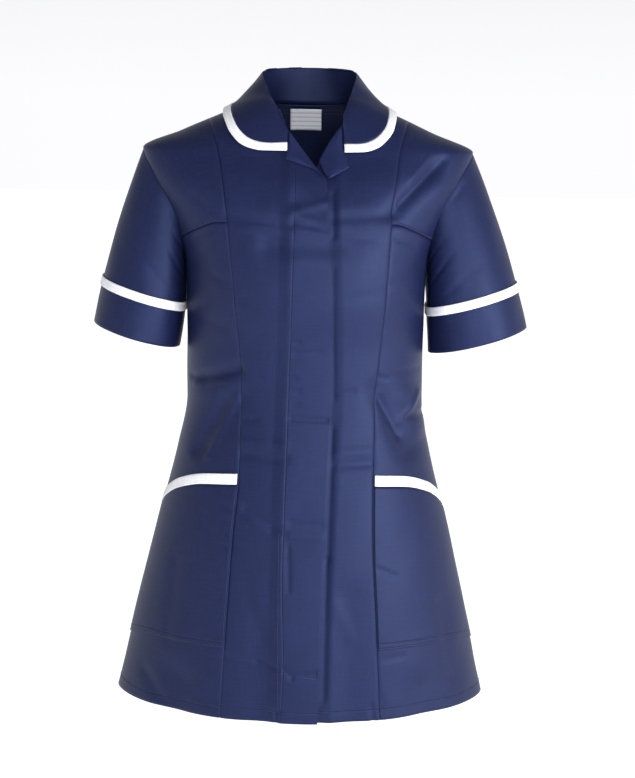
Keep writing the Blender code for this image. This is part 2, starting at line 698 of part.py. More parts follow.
def neck_label(columns=5, rows=4):
    """Plain label below the collar's seam, on the inside of the back."""
    x = np.linspace(*LABEL_X, columns)[:, None]
    z = np.linspace(*LABEL_Z, rows)[None]
    width, _, m, _ = level(z, 1)
    turn = np.degrees(np.arccos(np.sign(x) * (np.abs(x) / width) ** (m / 2)))
    points, normal = lifted(body(turn, z), LEFT, -(WALL + LABEL_GAP + TRIM_WALL))
    cloth("neck_label", points, -normal, LABEL_WHITE, TRIM_WALL)


for side in (RIGHT, LEFT):
    centre_front(side)
    side_front_upper(side)
    side_front_lower(side)
    sleeve(side)
    rever(side)
    pocket(side)
back_panel()
collar()
zip_band()
neck_label()
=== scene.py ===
# %% [markdown]
# # A navy work tunic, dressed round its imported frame
#
# The frame is the garment's construction: plain walls in its worn shape, with nobody inside. This
# script gives each wall a fine cloth shell with creases, sewing and woven finishes. It reads
# nothing but the frame, and every shell is worked out again from the same formulas.

# %% Load the frame and keep its box
import bpy
import math
import numpy as np
from mathutils import Matrix, Vector


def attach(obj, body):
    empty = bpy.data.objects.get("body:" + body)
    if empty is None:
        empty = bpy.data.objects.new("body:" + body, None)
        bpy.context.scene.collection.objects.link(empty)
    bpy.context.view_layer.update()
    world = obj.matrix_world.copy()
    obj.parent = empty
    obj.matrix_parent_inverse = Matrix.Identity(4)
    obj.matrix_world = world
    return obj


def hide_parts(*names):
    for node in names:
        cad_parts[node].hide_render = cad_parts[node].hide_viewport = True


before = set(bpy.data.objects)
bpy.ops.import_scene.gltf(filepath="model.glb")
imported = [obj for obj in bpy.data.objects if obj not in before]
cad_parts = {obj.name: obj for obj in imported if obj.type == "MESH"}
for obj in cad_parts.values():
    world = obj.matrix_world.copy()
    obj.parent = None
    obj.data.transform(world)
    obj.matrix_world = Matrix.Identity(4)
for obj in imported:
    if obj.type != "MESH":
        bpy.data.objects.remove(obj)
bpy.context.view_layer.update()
print("frame nodes:", len(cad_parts))

# %% [markdown]
# ## Units and colour
#
# A maker measures cloth in millimetres and Blender measures in metres, so every table below is in
# millimetres and one constant turns it into metres. Colours are written as sRGB hex, as a dye card
# gives them, and one function turns them into the linear values that a shader wants.

# %% Millimetres and hex colours
MM = 0.001
LEFT, RIGHT = 1, -1


def linear(hex_colour):
    """sRGB hex to linear RGBA: c / 12.92 below 0.04045, else ((c + 0.055) / 1.055) ^ 2.4."""
    srgb = np.array([int(hex_colour[i:i + 2], 16) / 255 for i in (1, 3, 5)])
    value = np.where(srgb <= 0.04045, srgb / 12.92, ((srgb + 0.055) / 1.055) ** 2.4)
    return (*value.tolist(), 1.0)


# %% [markdown]
# ## Camera, light and floor
#
# A catalogue picture is taken from two metres with a long lens, a little above the middle and
# looking down by ten degrees. The light is broad and soft. It comes from the viewer's right at
# waist height, so the right side shines and the collar and the left side stay deep. The white
# table sends light up from below. White should stay white here, so the plain sRGB view is used
# instead of Blender's film-like one.

# %% Camera
PHOTO_WIDTH_PX, FOCAL_PX = 635, 1613
CAMERA_PLACE = (0.0165, -2.0, 0.0)
CAMERA_PITCH = math.radians(10.2)
CAMERA_ROLL = math.radians(1.0)
SENSOR_MM = 36


def make_camera():
    """A camera at the place above, pitched down about X and rolled about its own line of sight."""
    data = bpy.data.cameras.new("photo_camera")
    data.sensor_fit = "HORIZONTAL"
    data.sensor_width = SENSOR_MM
    data.lens = SENSOR_MM * FOCAL_PX / PHOTO_WIDTH_PX
    data.clip_start, data.clip_end = 0.05, 30
    camera = bpy.data.objects.new("photo_camera", data)
    bpy.context.scene.collection.objects.link(camera)
    tilt = Matrix.Rotation(math.pi / 2 - CAMERA_PITCH, 4, "X")
    roll = Matrix.Rotation(CAMERA_ROLL, 4, "Z")
    camera.matrix_world = Matrix.Translation(CAMERA_PLACE) @ tilt @ roll
    bpy.context.scene.camera = camera


make_camera()
print("camera lens in mm:", round(SENSOR_MM * FOCAL_PX / PHOTO_WIDTH_PX, 1))

# %% Lights
LIGHTS = (
    # name, place, aimed at, size, watts
    ("key_softbox", (1.9, -1.7, -0.35), (0.05, 0.0, -0.45), 1.1, 54),
    ("table_softbox", (0.35, -1.45, -0.9), (0.3, -1.2, 0.0), 1.0, 17),
    ("camera_softbox", (0.3, -2.5, 0.3), (0.0, 0.1, 0.0), 0.5, 24),
)
WALL_WHITE, PAPER_WHITE, LAMP_WHITE = "#fdfdff", "#f4f5f7", "#ffffff"
# Ranges of direction and strength: up from the horizon, and right from the left wall.
WALL_FADE = {"From Min": 0.0, "From Max": 0.7, "To Min": 1.0, "To Max": 0.35}
LEFT_WALL_FADE = {"From Min": -0.9, "From Max": -0.15, "To Min": 0.88, "To Max": 1.0}


def node(tree, kind, settings=None, inputs=None, **links):
    """Adds one node: settings are its properties, inputs its socket values, and links its wires."""
    made = tree.nodes.new(kind)
    for key, value in (settings or {}).items():
        setattr(made, key, value)
    for key, value in (inputs or {}).items():
        made.inputs[key].default_value = value
    for key, source in links.items():
        tree.links.new(source, made.inputs[key.replace("_", " ")])
    return made


def make_light(name, place, aim, size, watts):
    """A square white area light that faces its aim."""
    data = bpy.data.lights.new(name, "AREA")
    data.energy, data.size = watts, size
    light = bpy.data.objects.new(name, data)
    bpy.context.scene.collection.objects.link(light)
    light.location = place
    light.rotation_euler = (Vector(aim) - Vector(place)).to_track_quat("-Z", "Y").to_euler()
    light.visible_camera = False


def make_world():
    """White walls: strength falls with height, and again towards the left wall."""
    world = bpy.data.worlds.new("studio")
    bpy.context.scene.world = world
    world.use_nodes = True
    tree = world.node_tree
    background = tree.nodes["Background"]
    background.inputs["Color"].default_value = linear(WALL_WHITE)
    way = node(tree, "ShaderNodeTexCoord").outputs["Generated"]
    split = node(tree, "ShaderNodeSeparateXYZ", Vector=way).outputs
    fades = [node(tree, "ShaderNodeMapRange", {}, WALL_FADE, Value=split["Z"]),
             node(tree, "ShaderNodeMapRange", {}, LEFT_WALL_FADE, Value=split["X"])]
    both = node(tree, "ShaderNodeMath", {"operation": "MULTIPLY"})
    for slot, fade in enumerate(fades):
        tree.links.new(fade.outputs[0], both.inputs[slot])
    tree.links.new(both.outputs[0], background.inputs["Strength"])


for row in LIGHTS:
    make_light(*row)
make_world()
bpy.context.scene.view_settings.view_transform = "Standard"
print("lights:", len(LIGHTS))

# %% Floor
FLOOR_Z = -0.93
FLOOR_HALF = 14.0
TABLE_GLOW, PAPER_ROUGHNESS = 0.7, 0.9


def make_floor():
    """A plain square far wider than the view, lit from within as a white light table is."""
    signs = ((-1, -1), (1, -1), (1, 1), (-1, 1))
    corners = [(x * FLOOR_HALF, y * FLOOR_HALF, FLOOR_Z) for x, y in signs]
    mesh = bpy.data.meshes.new("floor")
    mesh.from_pydata(corners, [], [(0, 1, 2, 3)])
    floor = bpy.data.objects.new("floor", mesh)
    bpy.context.scene.collection.objects.link(floor)
    paper = bpy.data.materials.new("studio_paper")
    paper.use_nodes = True
    shader = paper.node_tree.nodes["Principled BSDF"]
    shader.inputs["Base Color"].default_value = linear(PAPER_WHITE)
    shader.inputs["Roughness"].default_value = PAPER_ROUGHNESS
    shader.inputs["Emission Color"].default_value = linear(LAMP_WHITE)
    shader.inputs["Emission Strength"].default_value = TABLE_GLOW
    mesh.materials.append(paper)


make_floor()

# %% [markdown]
# ## The body of the tunic
#
# Every level of the body is a closed curve between an ellipse and a rounded box. A table gives a
# few levels, a smooth curve through each column gives the rest, and the pattern pieces are then
# laid on that surface. The seams come from short tables too, so the shells meet as sewn cloth does.

# %% Levels of the body
HEM_Z, UNDERARM_Z, SHOULDER_Z, PRINCESS_TOP_Z = -752, -194, -62, -24
BODY = np.array([
    # z, half_width, front_depth, back_depth, x_power, y_power
    (-752, 236, 132, 134, 2.00, 1.65),
    (-640, 210, 128, 131, 2.05, 1.80),
    (-515, 180, 121, 126, 2.10, 1.95),
    (-430, 158, 113, 114, 2.15, 2.10),
    (-365, 147, 106, 99, 2.20, 2.20),
    (-300, 147, 112, 100, 2.20, 2.20),
    (-235, 148, 127, 107, 2.30, 2.30),
    (-194, 150, 131, 112, 2.35, 2.35),
    (-140, 169, 123, 114, 2.45, 2.45),
    (-100, 192, 108, 112, 2.55, 2.55),
    (-62, 202, 86, 101, 2.60, 2.60),
    (-40, 154, 76, 92, 2.60, 2.60),
    (-20, 109, 66, 80, 2.60, 2.60),
    (2, 60, 55, 62, 2.60, 2.60),
])
Z, HALF_WIDTH, FRONT_DEPTH, BACK_DEPTH, X_POWER, Y_POWER = range(6)
SLOPE_STEP = 2.0


def smooth(table, column, at):
    """Monotone cubic curve through a table's column, read at values of its first column."""
    x, y = table[:, 0], table[:, column]
    step = np.diff(x)
    slope = np.diff(y) / step
    same_way = slope[:-1] * slope[1:] > 0
    total = np.where(same_way, slope[:-1] + slope[1:], 1)
    middle = np.where(same_way, 2 * slope[:-1] * slope[1:] / total, 0)
    tangent = np.concatenate([slope[:1], middle, slope[-1:]])
    at = np.clip(at, x[0], x[-1])
    i = np.clip(np.searchsorted(x, at, side="right") - 1, 0, len(x) - 2)
    t = (at - x[i]) / step[i]
    return ((1 + 2 * t) * (1 - t) ** 2 * y[i] + t * (1 - t) ** 2 * step[i] * tangent[i]
            + t * t * (3 - 2 * t) * y[i + 1] - t * t * (1 - t) * step[i] * tangent[i + 1])


def level(z, y_or_face):
    """Half width, depth and powers of the body's section at a height."""
    front = np.asarray(y_or_face) < 0
    depth = np.where(front, smooth(BODY, FRONT_DEPTH, z), smooth(BODY, BACK_DEPTH, z))
    return smooth(BODY, HALF_WIDTH, z), depth, smooth(BODY, X_POWER, z), smooth(BODY, Y_POWER, z)


def body(angle, z):
    """x = w |cos a|^(2/m), y = d |sin a|^(2/n), with the signs of cos a and sin a (degrees)."""
    angle, z = np.broadcast_arrays(np.radians(angle), np.asarray(z, float))
    c, s = np.cos(angle), np.sin(angle)
    width, depth, m, n = level(z, s)
    x = width * np.sign(c) * np.abs(c) ** (2 / m)
    y = depth * np.sign(s) * np.abs(s) ** (2 / n)
    return np.stack([x, y, z], axis=-1)


def body_radius(p, z_shift=0.0):
    """(|x/w|^m + |y/d|^n)^(2/(m+n)), which is 1 on the body surface and grows outward."""
    width, depth, m, n = level(p[..., 2] + z_shift, p[..., 1])
    value = np.abs(p[..., 0] / width) ** m + np.abs(p[..., 1] / depth) ** n
    return value ** (2 / (m + n))


def body_normal(p):
    """Outward normal of the body surface, and the distance to it along that normal."""
    width, depth, m, n = level(p[..., 2], p[..., 1])
    radius = body_radius(p)
    nx = m * np.sign(p[..., 0]) * np.abs(p[..., 0] / width) ** (m - 1) / width
    ny = n * np.sign(p[..., 1]) * np.abs(p[..., 1] / depth) ** (n - 1) / depth
    power = (m + n) / 2
    scale = radius ** (1 - power) / power
    nz = (body_radius(p, SLOPE_STEP) - body_radius(p, -SLOPE_STEP)) / (2 * SLOPE_STEP)
    gradient = np.stack([nx * scale, ny * scale, nz], axis=-1)
    slope = np.linalg.norm(gradient, axis=-1)
    return gradient / slope[..., None], (radius - 1) / slope


def settle(p):
    """Moves points along the normals onto the body surface."""
    for _ in range(8):
        normal, distance = body_normal(p)
        p = p - normal * distance[..., None]
    return p


def front_point(x, z):
    """Front point of the body at a distance x from the middle: y = -d (1 - |x/w|^m)^(1/n)."""
    x, z = np.broadcast_arrays(np.asarray(x, float), np.asarray(z, float))
    width, depth, m, n = level(z, -1)
    share = np.clip(np.abs(x) / width, 0, 1)
    return np.stack([np.sign(x) * width * share, -depth * (1 - share ** m) ** (1 / n), z], axis=-1)


print("body levels:", len(BODY))

# %% [markdown]
# ## Folds and creases
#
# A worn tunic has two kinds of relief. The large folds are in the frame: the waist gathers cloth,
# and the skirt hangs in broad waves. The small creases are the marks of handling and of seams that
# pull. Both are made as the same soft trough or ridge along a short line, which fades sideways as
# a bell curve. The small ones are listed one by one, each with its own length, depth and width.

# %% Large folds, as in the frame
FOLDS = np.array([
    # face (1 back, -1 front), x0, z0, x1, z1, depth, half_width
    (-1, -120, -338, -82, -322, -4.0, 11),
    (-1, -80, -356, -118, -420, -3.5, 13),
    (-1, 88, -345, 130, -420, -4.0, 14),
    (-1, 128, -356, 142, -398, 3.0, 12),
    (-1, 150, -80, 104, -128, -4.5, 13),
    (-1, -12, -120, 14, -134, -2.5, 12),
    (-1, -42, -168, 40, -168, -3.5, 16),
    (-1, -150, -715, -156, -752, -4.0, 22),
    (-1, 152, -718, 158, -752, -4.0, 22),
    (-1, -50, -640, -48, -752, -3.0, 22),
    (-1, 58, -600, 62, -752, -3.5, 22),
    (1, -70, -330, -10, -352, -5.0, 12),
    (1, 12, -350, 78, -326, -4.5, 12),
    (1, -108, -372, -60, -388, 4.0, 13),
    (1, 60, -386, 112, -370, 4.0, 13),
    (1, -120, -560, -138, -752, -7.0, 30),
    (1, 0, -600, 4, -752, -6.0, 30),
    (1, 120, -570, 134, -752, -7.0, 30),
    (1, -122, -104, -70, -152, -3.0, 16),
    (1, 122, -100, 72, -150, -3.0, 16),
])
FACE_BLEND = 60

# %% Small creases
CREASES = np.array([
    # face, x0, z0, x1, z1, depth, half_width
    (-1, -96, -137, -18, -145, -1.8, 5.0),
    (-1, -73, -157, -26, -158, -0.9, 3.5),
    (-1, -15, -129, 23, -120, 1.4, 4.0),
    (-1, -15, -142, 24, -149, -1.6, 4.5),
    (-1, 31, -137, 102, -132, -1.7, 6.0),
    (-1, 32, -154, 76, -161, -0.8, 4.0),
    (-1, 162, -69, 111, -120, -2.6, 5.5),
    (-1, 144, -67, 123, -90, 1.2, 4.0),
    (-1, 103, -157, 129, -171, -1.2, 3.0),
    (-1, -133, -115, -106, -135, -1.0, 5.0),
    (-1, -131, -163, -106, -152, -0.8, 3.5),
    (-1, 31, -107, 33, -156, -1.8, 3.2),
    (-1, -76, -234, -26, -236, -0.7, 5.0),
    (-1, 40, -231, 78, -227, -0.6, 5.0),
    (-1, -16, -282, -7, -282, -0.9, 2.6),
    (-1, -12, -298, 18, -294, -1.1, 2.6),
    (-1, -16, -328, -9, -328, -1.0, 2.6),
    (-1, -14, -345, -5, -344, -1.3, 2.6),
    (-1, -14, -360, -6, -359, -1.2, 2.6),
    (-1, -15, -377, 28, -379, -2.3, 2.6),
    (-1, -72, -381, -56, -380, -1.2, 2.6),
    (-1, -72, -423, -21, -427, -1.6, 5.5),
    (-1, -71, -407, -20, -410, 1.0, 5.0),
    (-1, 35, -347, 60, -345, -1.4, 3.0),
    (-1, 40, -432, 82, -432, -2.2, 6.0),
    (-1, 42, -417, 81, -416, 1.0, 4.5),
    (-1, -138, -338, -78, -322, -2.8, 4.0),
    (-1, -133, -347, -94, -336, 1.0, 3.5),
    (-1, -97, -360, -132, -427, -2.8, 7.0),
    (-1, -82, -356, -116, -431, 2.2, 5.0),
    (-1, 93, -356, 118, -403, -2.8, 4.6),
    (-1, 139, -353, 120, -386, 2.6, 3.6),
    (-1, 126, -380, 148, -383, -2.2, 4.5),
    (-1, 90, -328, 102, -331, -1.8, 2.6),
    (-1, 114, -323, 141, -323, -1.2, 3.0),
    (-1, -94, -486, -82, -492, -1.0, 2.6),
    (-1, -94, -536, -83, -539, -1.1, 2.6),
    (-1, -92, -504, -82, -508, -0.7, 2.6),
    (-1, -68, -489, -29, -510, -2.2, 5.0),
    (-1, -63, -506, -25, -525, 1.2, 4.5),
    (-1, -13, -504, 24, -506, -1.8, 4.5),
    (-1, -13, -518, 23, -519, 1.3, 4.0),
    (-1, -16, -531, -14, -585, -1.6, 2.6),
    (-1, -20, -683, -9, -693, -1.8, 2.6),
    (-1, -9, -693, 20, -689, -2.2, 2.8),
    (-1, -54, -675, -25, -684, -1.8, 3.2),
    (-1, -90, -673, -51, -675, -1.0, 3.0),
    (-1, -27, -737, -27, -751, -2.6, 2.6),
    (-1, 36, -390, 33, -547, -1.6, 3.4),
    (-1, 32, -547, 31, -722, -2.2, 3.6),
    (-1, 33, -196, 37, -354, -1.0, 3.0),
    (-1, 93, -561, 116, -573, -1.4, 2.6),
    (-1, 90, -733, 92, -751, -1.8, 2.6),
    (-1, 101, -722, 104, -742, -1.0, 2.6),
    (-1, 103, -676, 128, -674, -1.0, 2.6),
    (-1, -194, -715, -174, -744, -1.4, 8.0),
    (-1, 174, -614, 192, -713, -1.0, 8.0),
    (-1, 40, -597, 63, -647, 0.9, 8.0),
    (-1, -66, -588, -46, -648, -0.8, 7.0),
    (-1, -153, -564, -165, -666, -0.9, 7.0),
    (-1, -134, -196, -96, -214, -0.9, 5.0),
    (-1, 132, -200, 100, -216, -0.9, 5.0),
    (-1, -128, -262, -92, -270, -0.7, 5.0),
    (-1, 130, -256, 98, -268, -0.7, 5.0),
    (1, -96, -322, -52, -336, -1.6, 4.5),
    (1, -40, -344, 8, -350, -1.4, 4.0),
    (1, 30, -340, 88, -322, -1.6, 4.5),
    (1, -84, -358, -36, -366, -1.1, 4.0),
    (1, 28, -364, 78, -356, -1.2, 4.0),
    (1, -118, -400, -96, -440, -1.0, 5.0),
    (1, 112, -396, 100, -436, -1.0, 5.0),
    (1, -150, -96, -104, -142, -1.4, 5.5),
    (1, 148, -92, 106, -138, -1.4, 5.5),
    (1, -60, -76, 58, -80, -0.9, 7.0),
    (1, -40, -240, 30, -246, -0.8, 6.0),
    (1, -70, -560, -20, -568, -0.7, 5.0),
    (1, 30, -540, 84, -548, -0.7, 5.0),
    (1, -130, -200, -92, -216, -1.0, 5.0),
    (1, 128, -198, 94, -214, -1.0, 5.0),
])
SLUB_DEPTH = 0.35


def relief(p, table):
    """Sum of depth * exp(-(distance to the fold's line / half_width)^2) over the table."""
    total = np.zeros(p.shape[:-1])
    for face, x0, z0, x1, z1, depth, half_width in table:
        run = np.array([x1 - x0, z1 - z0])
        offset = np.stack([p[..., 0] - x0, p[..., 2] - z0], axis=-1)
        share = np.clip(offset @ run / (run @ run), 0, 1)
        distance = np.linalg.norm(offset - share[..., None] * run, axis=-1)
        on_face = np.clip(0.5 + face * p[..., 1] / FACE_BLEND, 0, 1)
        total += on_face * depth * np.exp(-(distance / half_width) ** 2)
    return total


def hand(p):
    """The cloth's own unevenness: three long sine waves across each other, under half a mm."""
    x, y, z = p[..., 0], p[..., 1], p[..., 2]
    wave = np.sin(x / 23 + np.sin(z / 61)) * np.sin(z / 31 + 1.3 * np.sin(y / 37))
    wave += 0.6 * np.sin(x / 11 - z / 17 + 2 * np.sin(z / 83)) * np.sin((x + y) / 29)
    return SLUB_DEPTH * wave


def lifted(p, side=LEFT, lift=0.0, fine=True):
    """Body points of one side with the folds, moved out by lift. Also their normals."""
    p = p * np.array([side, 1, 1])
    normal, _ = body_normal(p)
    height = relief(p, FOLDS) + lift
    if fine:
        height = height + relief(p, CREASES) + hand(p)
    return p + normal * height[..., None], normal


print("large folds:", len(FOLDS), "small creases:", len(CREASES))

# %% [markdown]
# ## From a grid to cloth
#
# A pattern piece is a grid of points between four edges. Blending opposite edges and taking off
# the corners fills the grid, which is called a Coons patch. The grid becomes a mesh with one
# foreach_set call, its UV map holds the distance along the cloth in metres so that the weave can
# follow the threads, and Solidify gives it the thickness of the cloth.

# %% Grid helpers
CLOTH_WALL = 0.9
FOLDED_WALL = 1.5
SEAM_ROLL, SEAM_ROLL_WIDTH = 0.8, 1.7
FAR = 1.0
SHELL = "_shell"


def along(points, share, knots=None):
    """Points at shares 0..1 of a polyline, by its knots or else by equal steps."""
    knots = np.linspace(0, 1, len(points)) if knots is None else knots
    columns = [np.interp(share, knots, points[:, k]) for k in range(points.shape[1])]
    return np.stack(columns, axis=-1)


def run_along(points):
    """Length along a line of points up to each of them."""
    return np.concatenate([[0], np.cumsum(np.linalg.norm(np.diff(points, axis=0), axis=1))])


def crown(height, rows):
    """Rise of a rounded band over its rows: height * sin(pi * share)."""
    return height * np.sin(np.linspace(0, np.pi, rows))


def evenly(points, share):
    """Points at shares 0..1 of a polyline's length."""
    run = run_along(points)
    return along(points, share, run / run[-1])


def patch(bottom, top, inner, outer, share, hold=1):
    """Grid between four edges that meet at the corners (a Coons patch), on the body surface.

    The top edge's shape fades downward as v ** hold, so a high hold keeps it near the top.
    """
    u, v = share[:, None, None], np.linspace(0, 1, len(inner))[None, :, None] ** hold
    across = (1 - v) * bottom[:, None] + v * top[:, None]
    up = (1 - u) * inner[None] + u * outer[None]
    corners = ((1 - u) * (1 - v) * bottom[0] + u * (1 - v) * bottom[-1]
               + (1 - u) * v * top[0] + u * v * top[-1])
    return settle(across + up - corners)


def runs(points):
    """Distance in mm along each row (u) and each column (v) of a grid, from its first edge."""
    du = np.linalg.norm(np.diff(points, axis=0), axis=-1)
    dv = np.linalg.norm(np.diff(points, axis=1), axis=-1)
    u = np.concatenate([np.zeros((1, points.shape[1])), np.cumsum(du, axis=0)])
    v = np.concatenate([np.zeros((points.shape[0], 1)), np.cumsum(dv, axis=1)], axis=1)
    return u, v


def seam_roll(points, sides):
    """-depth * exp(-(distance to a sewn edge / width)^2): the cloth dips into its seams."""
    u, v = runs(points)
    distance = {"inner": u, "outer": u[-1:] - u, "bottom": v, "top": v[:, -1:] - v}
    dips = [np.exp(-(distance[side] / SEAM_ROLL_WIDTH) ** 2) for side in sides]
    return -SEAM_ROLL * np.clip(sum(dips), 0, 1) if dips else np.zeros(u.shape)


def cloth(name, points, outward, wall=CLOTH_WALL, ring=False, lines=()):
    """Shell from a grid of points in millimetres, thickened away from the outward normals.

    Its UV map is (run across, run up) in metres. Each of lines is a grid of signed distances in
    millimetres to a row of sewing, kept as an attribute, stitch_a or stitch_b, in metres.
    """
    across, up = points.shape[:2]
    run_u, run_v = runs(points)
    middle = across // 2
    run_u = run_u - run_u[middle]
    index = np.arange(across * up).reshape(across, up)
    if ring:
        index = np.vstack([index, index[:1]])
        lap = run_u[-1:] + np.linalg.norm(points[:1] - points[-1:], axis=-1)
        run_u, run_v = np.vstack([run_u, lap]), np.vstack([run_v, run_v[:1]])
    cell = np.arange(index.size).reshape(index.shape)
    quads = np.stack([index[:-1, :-1], index[1:, :-1], index[1:, 1:], index[:-1, 1:]], axis=-1)
    places = np.stack([cell[:-1, :-1], cell[1:, :-1], cell[1:, 1:], cell[:-1, 1:]], axis=-1)
    quads, places = quads.reshape(-1, 4), places.reshape(-1, 4)
    du = points[1:, :-1] - points[:-1, :-1]
    dv = points[:-1, 1:] - points[:-1, :-1]
    if (np.cross(du, dv) * outward[:-1, :-1]).sum() < 0:
        quads, places = quads[:, ::-1], places[:, ::-1]
    mesh = bpy.data.meshes.new(name + SHELL)
    mesh.from_pydata((points.reshape(-1, 3) * MM).tolist(), [], quads.tolist())
    uv = np.stack([run_u.ravel(), run_v.ravel()], axis=-1)[places.ravel()] * MM
    mesh.uv_layers.new(name="thread_run").data.foreach_set("uv", uv.ravel())
    for attribute, distance in zip(("stitch_a", "stitch_b"), list(lines) + [None, None]):
        values = np.full(across * up, FAR) if distance is None else distance.ravel() * MM
        mesh.attributes.new(attribute, "FLOAT", "POINT").data.foreach_set("value", values)
    mesh.shade_smooth()
    piece = bpy.data.objects.new(name + SHELL, mesh)
    bpy.context.scene.collection.objects.link(piece)
    thicken = piece.modifiers.new("wall", "SOLIDIFY")
    thicken.thickness = wall * MM
    thicken.offset = -1.0
    thicken.use_even_offset = False
    return piece


# %% [markdown]
# ## Materials
#
# The cloth is a polyester and cotton twill, piece dyed navy: a tight weave with a soft, broad
# sheen. Its threads are 0.3 mm apart, finer than a pixel, so the weave is drawn at 1.4 mm, coarse
# enough to show as the faint upright and level streaks that such cloth has. Seams and sewing
# lines are pressed grooves, read from the distance that each shell carries.

# %% Helpers for materials
BANDS_PER_SCALE = 20  # A wave texture draws this many bands in a unit at scale 1.


def new_material(name):
    """An empty Principled material, with its tree and shader."""
    material = bpy.data.materials.new(name)
    material.use_nodes = True
    return material, material.node_tree, material.node_tree.nodes["Principled BSDF"]


def mixed(tree, factor, first, second):
    """First colour where the factor is 0, second where it is 1."""
    mix = node(tree, "ShaderNodeMix", {"data_type": "RGBA"}, {}, Factor=factor)
    mix.inputs[6].default_value, mix.inputs[7].default_value = linear(first), linear(second)
    return mix.outputs[2]


def bump(tree, height, depth_mm, **normal):
    """Normal output of a bump whose height of 1 stands depth_mm proud."""
    return node(tree, "ShaderNodeBump", {}, {"Strength": 1.0, "Distance": depth_mm * MM},
                Height=height, **normal).outputs["Normal"]


# %% Woven cloth
THREAD_MM = 1.4
SLUB_RUN_MM, SLUB_ACROSS_MM = 26.0, 1.6
GROOVE_MM, GROOVE_DEPTH_MM = 1.5, 0.45
RIB_ANGLE, RIB_SHARE = math.radians(60), 0.35
CLOUD_SCALE, CLOUD_SHARE = 9.0, 0.22
STREAK_RANGE = {"From Min": 0.75, "From Max": 1.25}
WOVEN_SHADER = {"IOR": 1.5, "Specular IOR Level": 0.5, "Sheen Roughness": 0.45}


def woven(name, base, light, dark, roughness, sheen, shine_tint, weave_depth):
    """Twill cloth: dyed colour with streaks along both threads, a diagonal rib and a soft shine.

    streaks = noise stretched along U + noise stretched along V. rib = sine of U and V, turned.
    """
    material, tree, shader = new_material(name)
    uv = node(tree, "ShaderNodeUVMap", {"uv_map": "thread_run"}).outputs["UV"]
    slubs = node(tree, "ShaderNodeMath", {"operation": "ADD"})
    fine, coarse = 1 / (SLUB_ACROSS_MM * MM), 1 / (SLUB_RUN_MM * MM)
    for slot, scale in enumerate(((fine, coarse, 1.0), (coarse, fine, 1.0))):
        mapped = node(tree, "ShaderNodeMapping", {}, {"Scale": scale}, Vector=uv)
        grain = node(tree, "ShaderNodeTexNoise", {"noise_dimensions": "2D"},
                     {"Scale": 1.0, "Detail": 2.0, "Roughness": 0.6}, Vector=mapped.outputs[0])
        tree.links.new(grain.outputs["Fac"], slubs.inputs[slot])
    shade = node(tree, "ShaderNodeMapRange", {}, STREAK_RANGE, Value=slubs.outputs[0])
    cloud = node(tree, "ShaderNodeTexNoise", {"noise_dimensions": "3D"},
                 {"Scale": CLOUD_SCALE, "Detail": 3.0},
                 Vector=node(tree, "ShaderNodeTexCoord").outputs["Object"])
    tones = node(tree, "ShaderNodeValToRGB", {}, {}, Fac=shade.outputs[0])
    tones.color_ramp.elements[0].color = linear(dark)
    tones.color_ramp.elements[1].color = linear(light)
    tones.color_ramp.elements.new(0.5).color = linear(base)
    worn = node(tree, "ShaderNodeMix", {"data_type": "RGBA", "blend_type": "MULTIPLY"},
                {"Factor": CLOUD_SHARE})
    tree.links.new(tones.outputs["Color"], worn.inputs[6])
    tree.links.new(cloud.outputs["Fac"], worn.inputs[7])
    tree.links.new(worn.outputs[2], shader.inputs["Base Color"])

    mapped = node(tree, "ShaderNodeMapping", {}, {"Rotation": (0, 0, RIB_ANGLE)}, Vector=uv)
    rib = node(tree, "ShaderNodeTexWave", {"wave_type": "BANDS", "bands_direction": "X"},
               {"Scale": 1 / (THREAD_MM * MM) / BANDS_PER_SCALE, "Distortion": 1.5, "Detail": 1.0,
                "Detail Scale": 2.0}, Vector=mapped.outputs[0])
    height = node(tree, "ShaderNodeMath", {"operation": "MULTIPLY_ADD"}, {1: RIB_SHARE})
    tree.links.new(rib.outputs["Fac"], height.inputs[0])
    tree.links.new(slubs.outputs[0], height.inputs[2])
    normal = bump(tree, height.outputs[0], weave_depth)
    for attribute in ("stitch_a", "stitch_b"):
        distance = node(tree, "ShaderNodeAttribute", {"attribute_name": attribute})
        size = node(tree, "ShaderNodeMath", {"operation": "ABSOLUTE"},
                    Value=distance.outputs["Fac"])
        rise = node(tree, "ShaderNodeMapRange", {"interpolation_type": "SMOOTHSTEP"},
                    {"From Min": 0.0, "From Max": GROOVE_MM * MM}, Value=size.outputs[0])
        normal = bump(tree, rise.outputs[0], GROOVE_DEPTH_MM, Normal=normal)
    tree.links.new(normal, shader.inputs["Normal"])
    values = {"Roughness": roughness, "Sheen Weight": sheen, "Sheen Tint": linear(shine_tint),
              "Specular Tint": linear(shine_tint), **WOVEN_SHADER}
    for key, value in values.items():
        shader.inputs[key].default_value = value
    return material


# Polyester and cotton twill, woven and piece dyed: deep navy, paler and bluer where it shines.
NAVY = woven("navy_polycotton_twill", "#151b3b", "#181f42", "#131836", 0.5, 0.0, "#8fa1d8", 0.03)
# The same cloth's inner face is a little duller, and it shows its weft as level streaks.
NAVY_INSIDE = woven("navy_twill_inner_face", "#181e41", "#1b2248", "#151a3a", 0.55, 0.0, "#8fa1d8",
                    0.04)
# Bias-cut cotton binding, bleached: matt and white, its two folded edges stitched down.
WHITE = woven("white_cotton_binding", "#e9eaee", "#f3f4f7", "#dfe0e6", 0.75, 0.1, "#ffffff", 0.08)
# Polyester zip tape, ribbed along its length and matt.
ZIP_NAVY = woven("navy_zip_tape", "#1b2147", "#242b57", "#141938", 0.6, 0.1, "#7d8acd", 0.2)
print("cloth materials:", [m.name for m in (NAVY, NAVY_INSIDE, WHITE, ZIP_NAVY)])

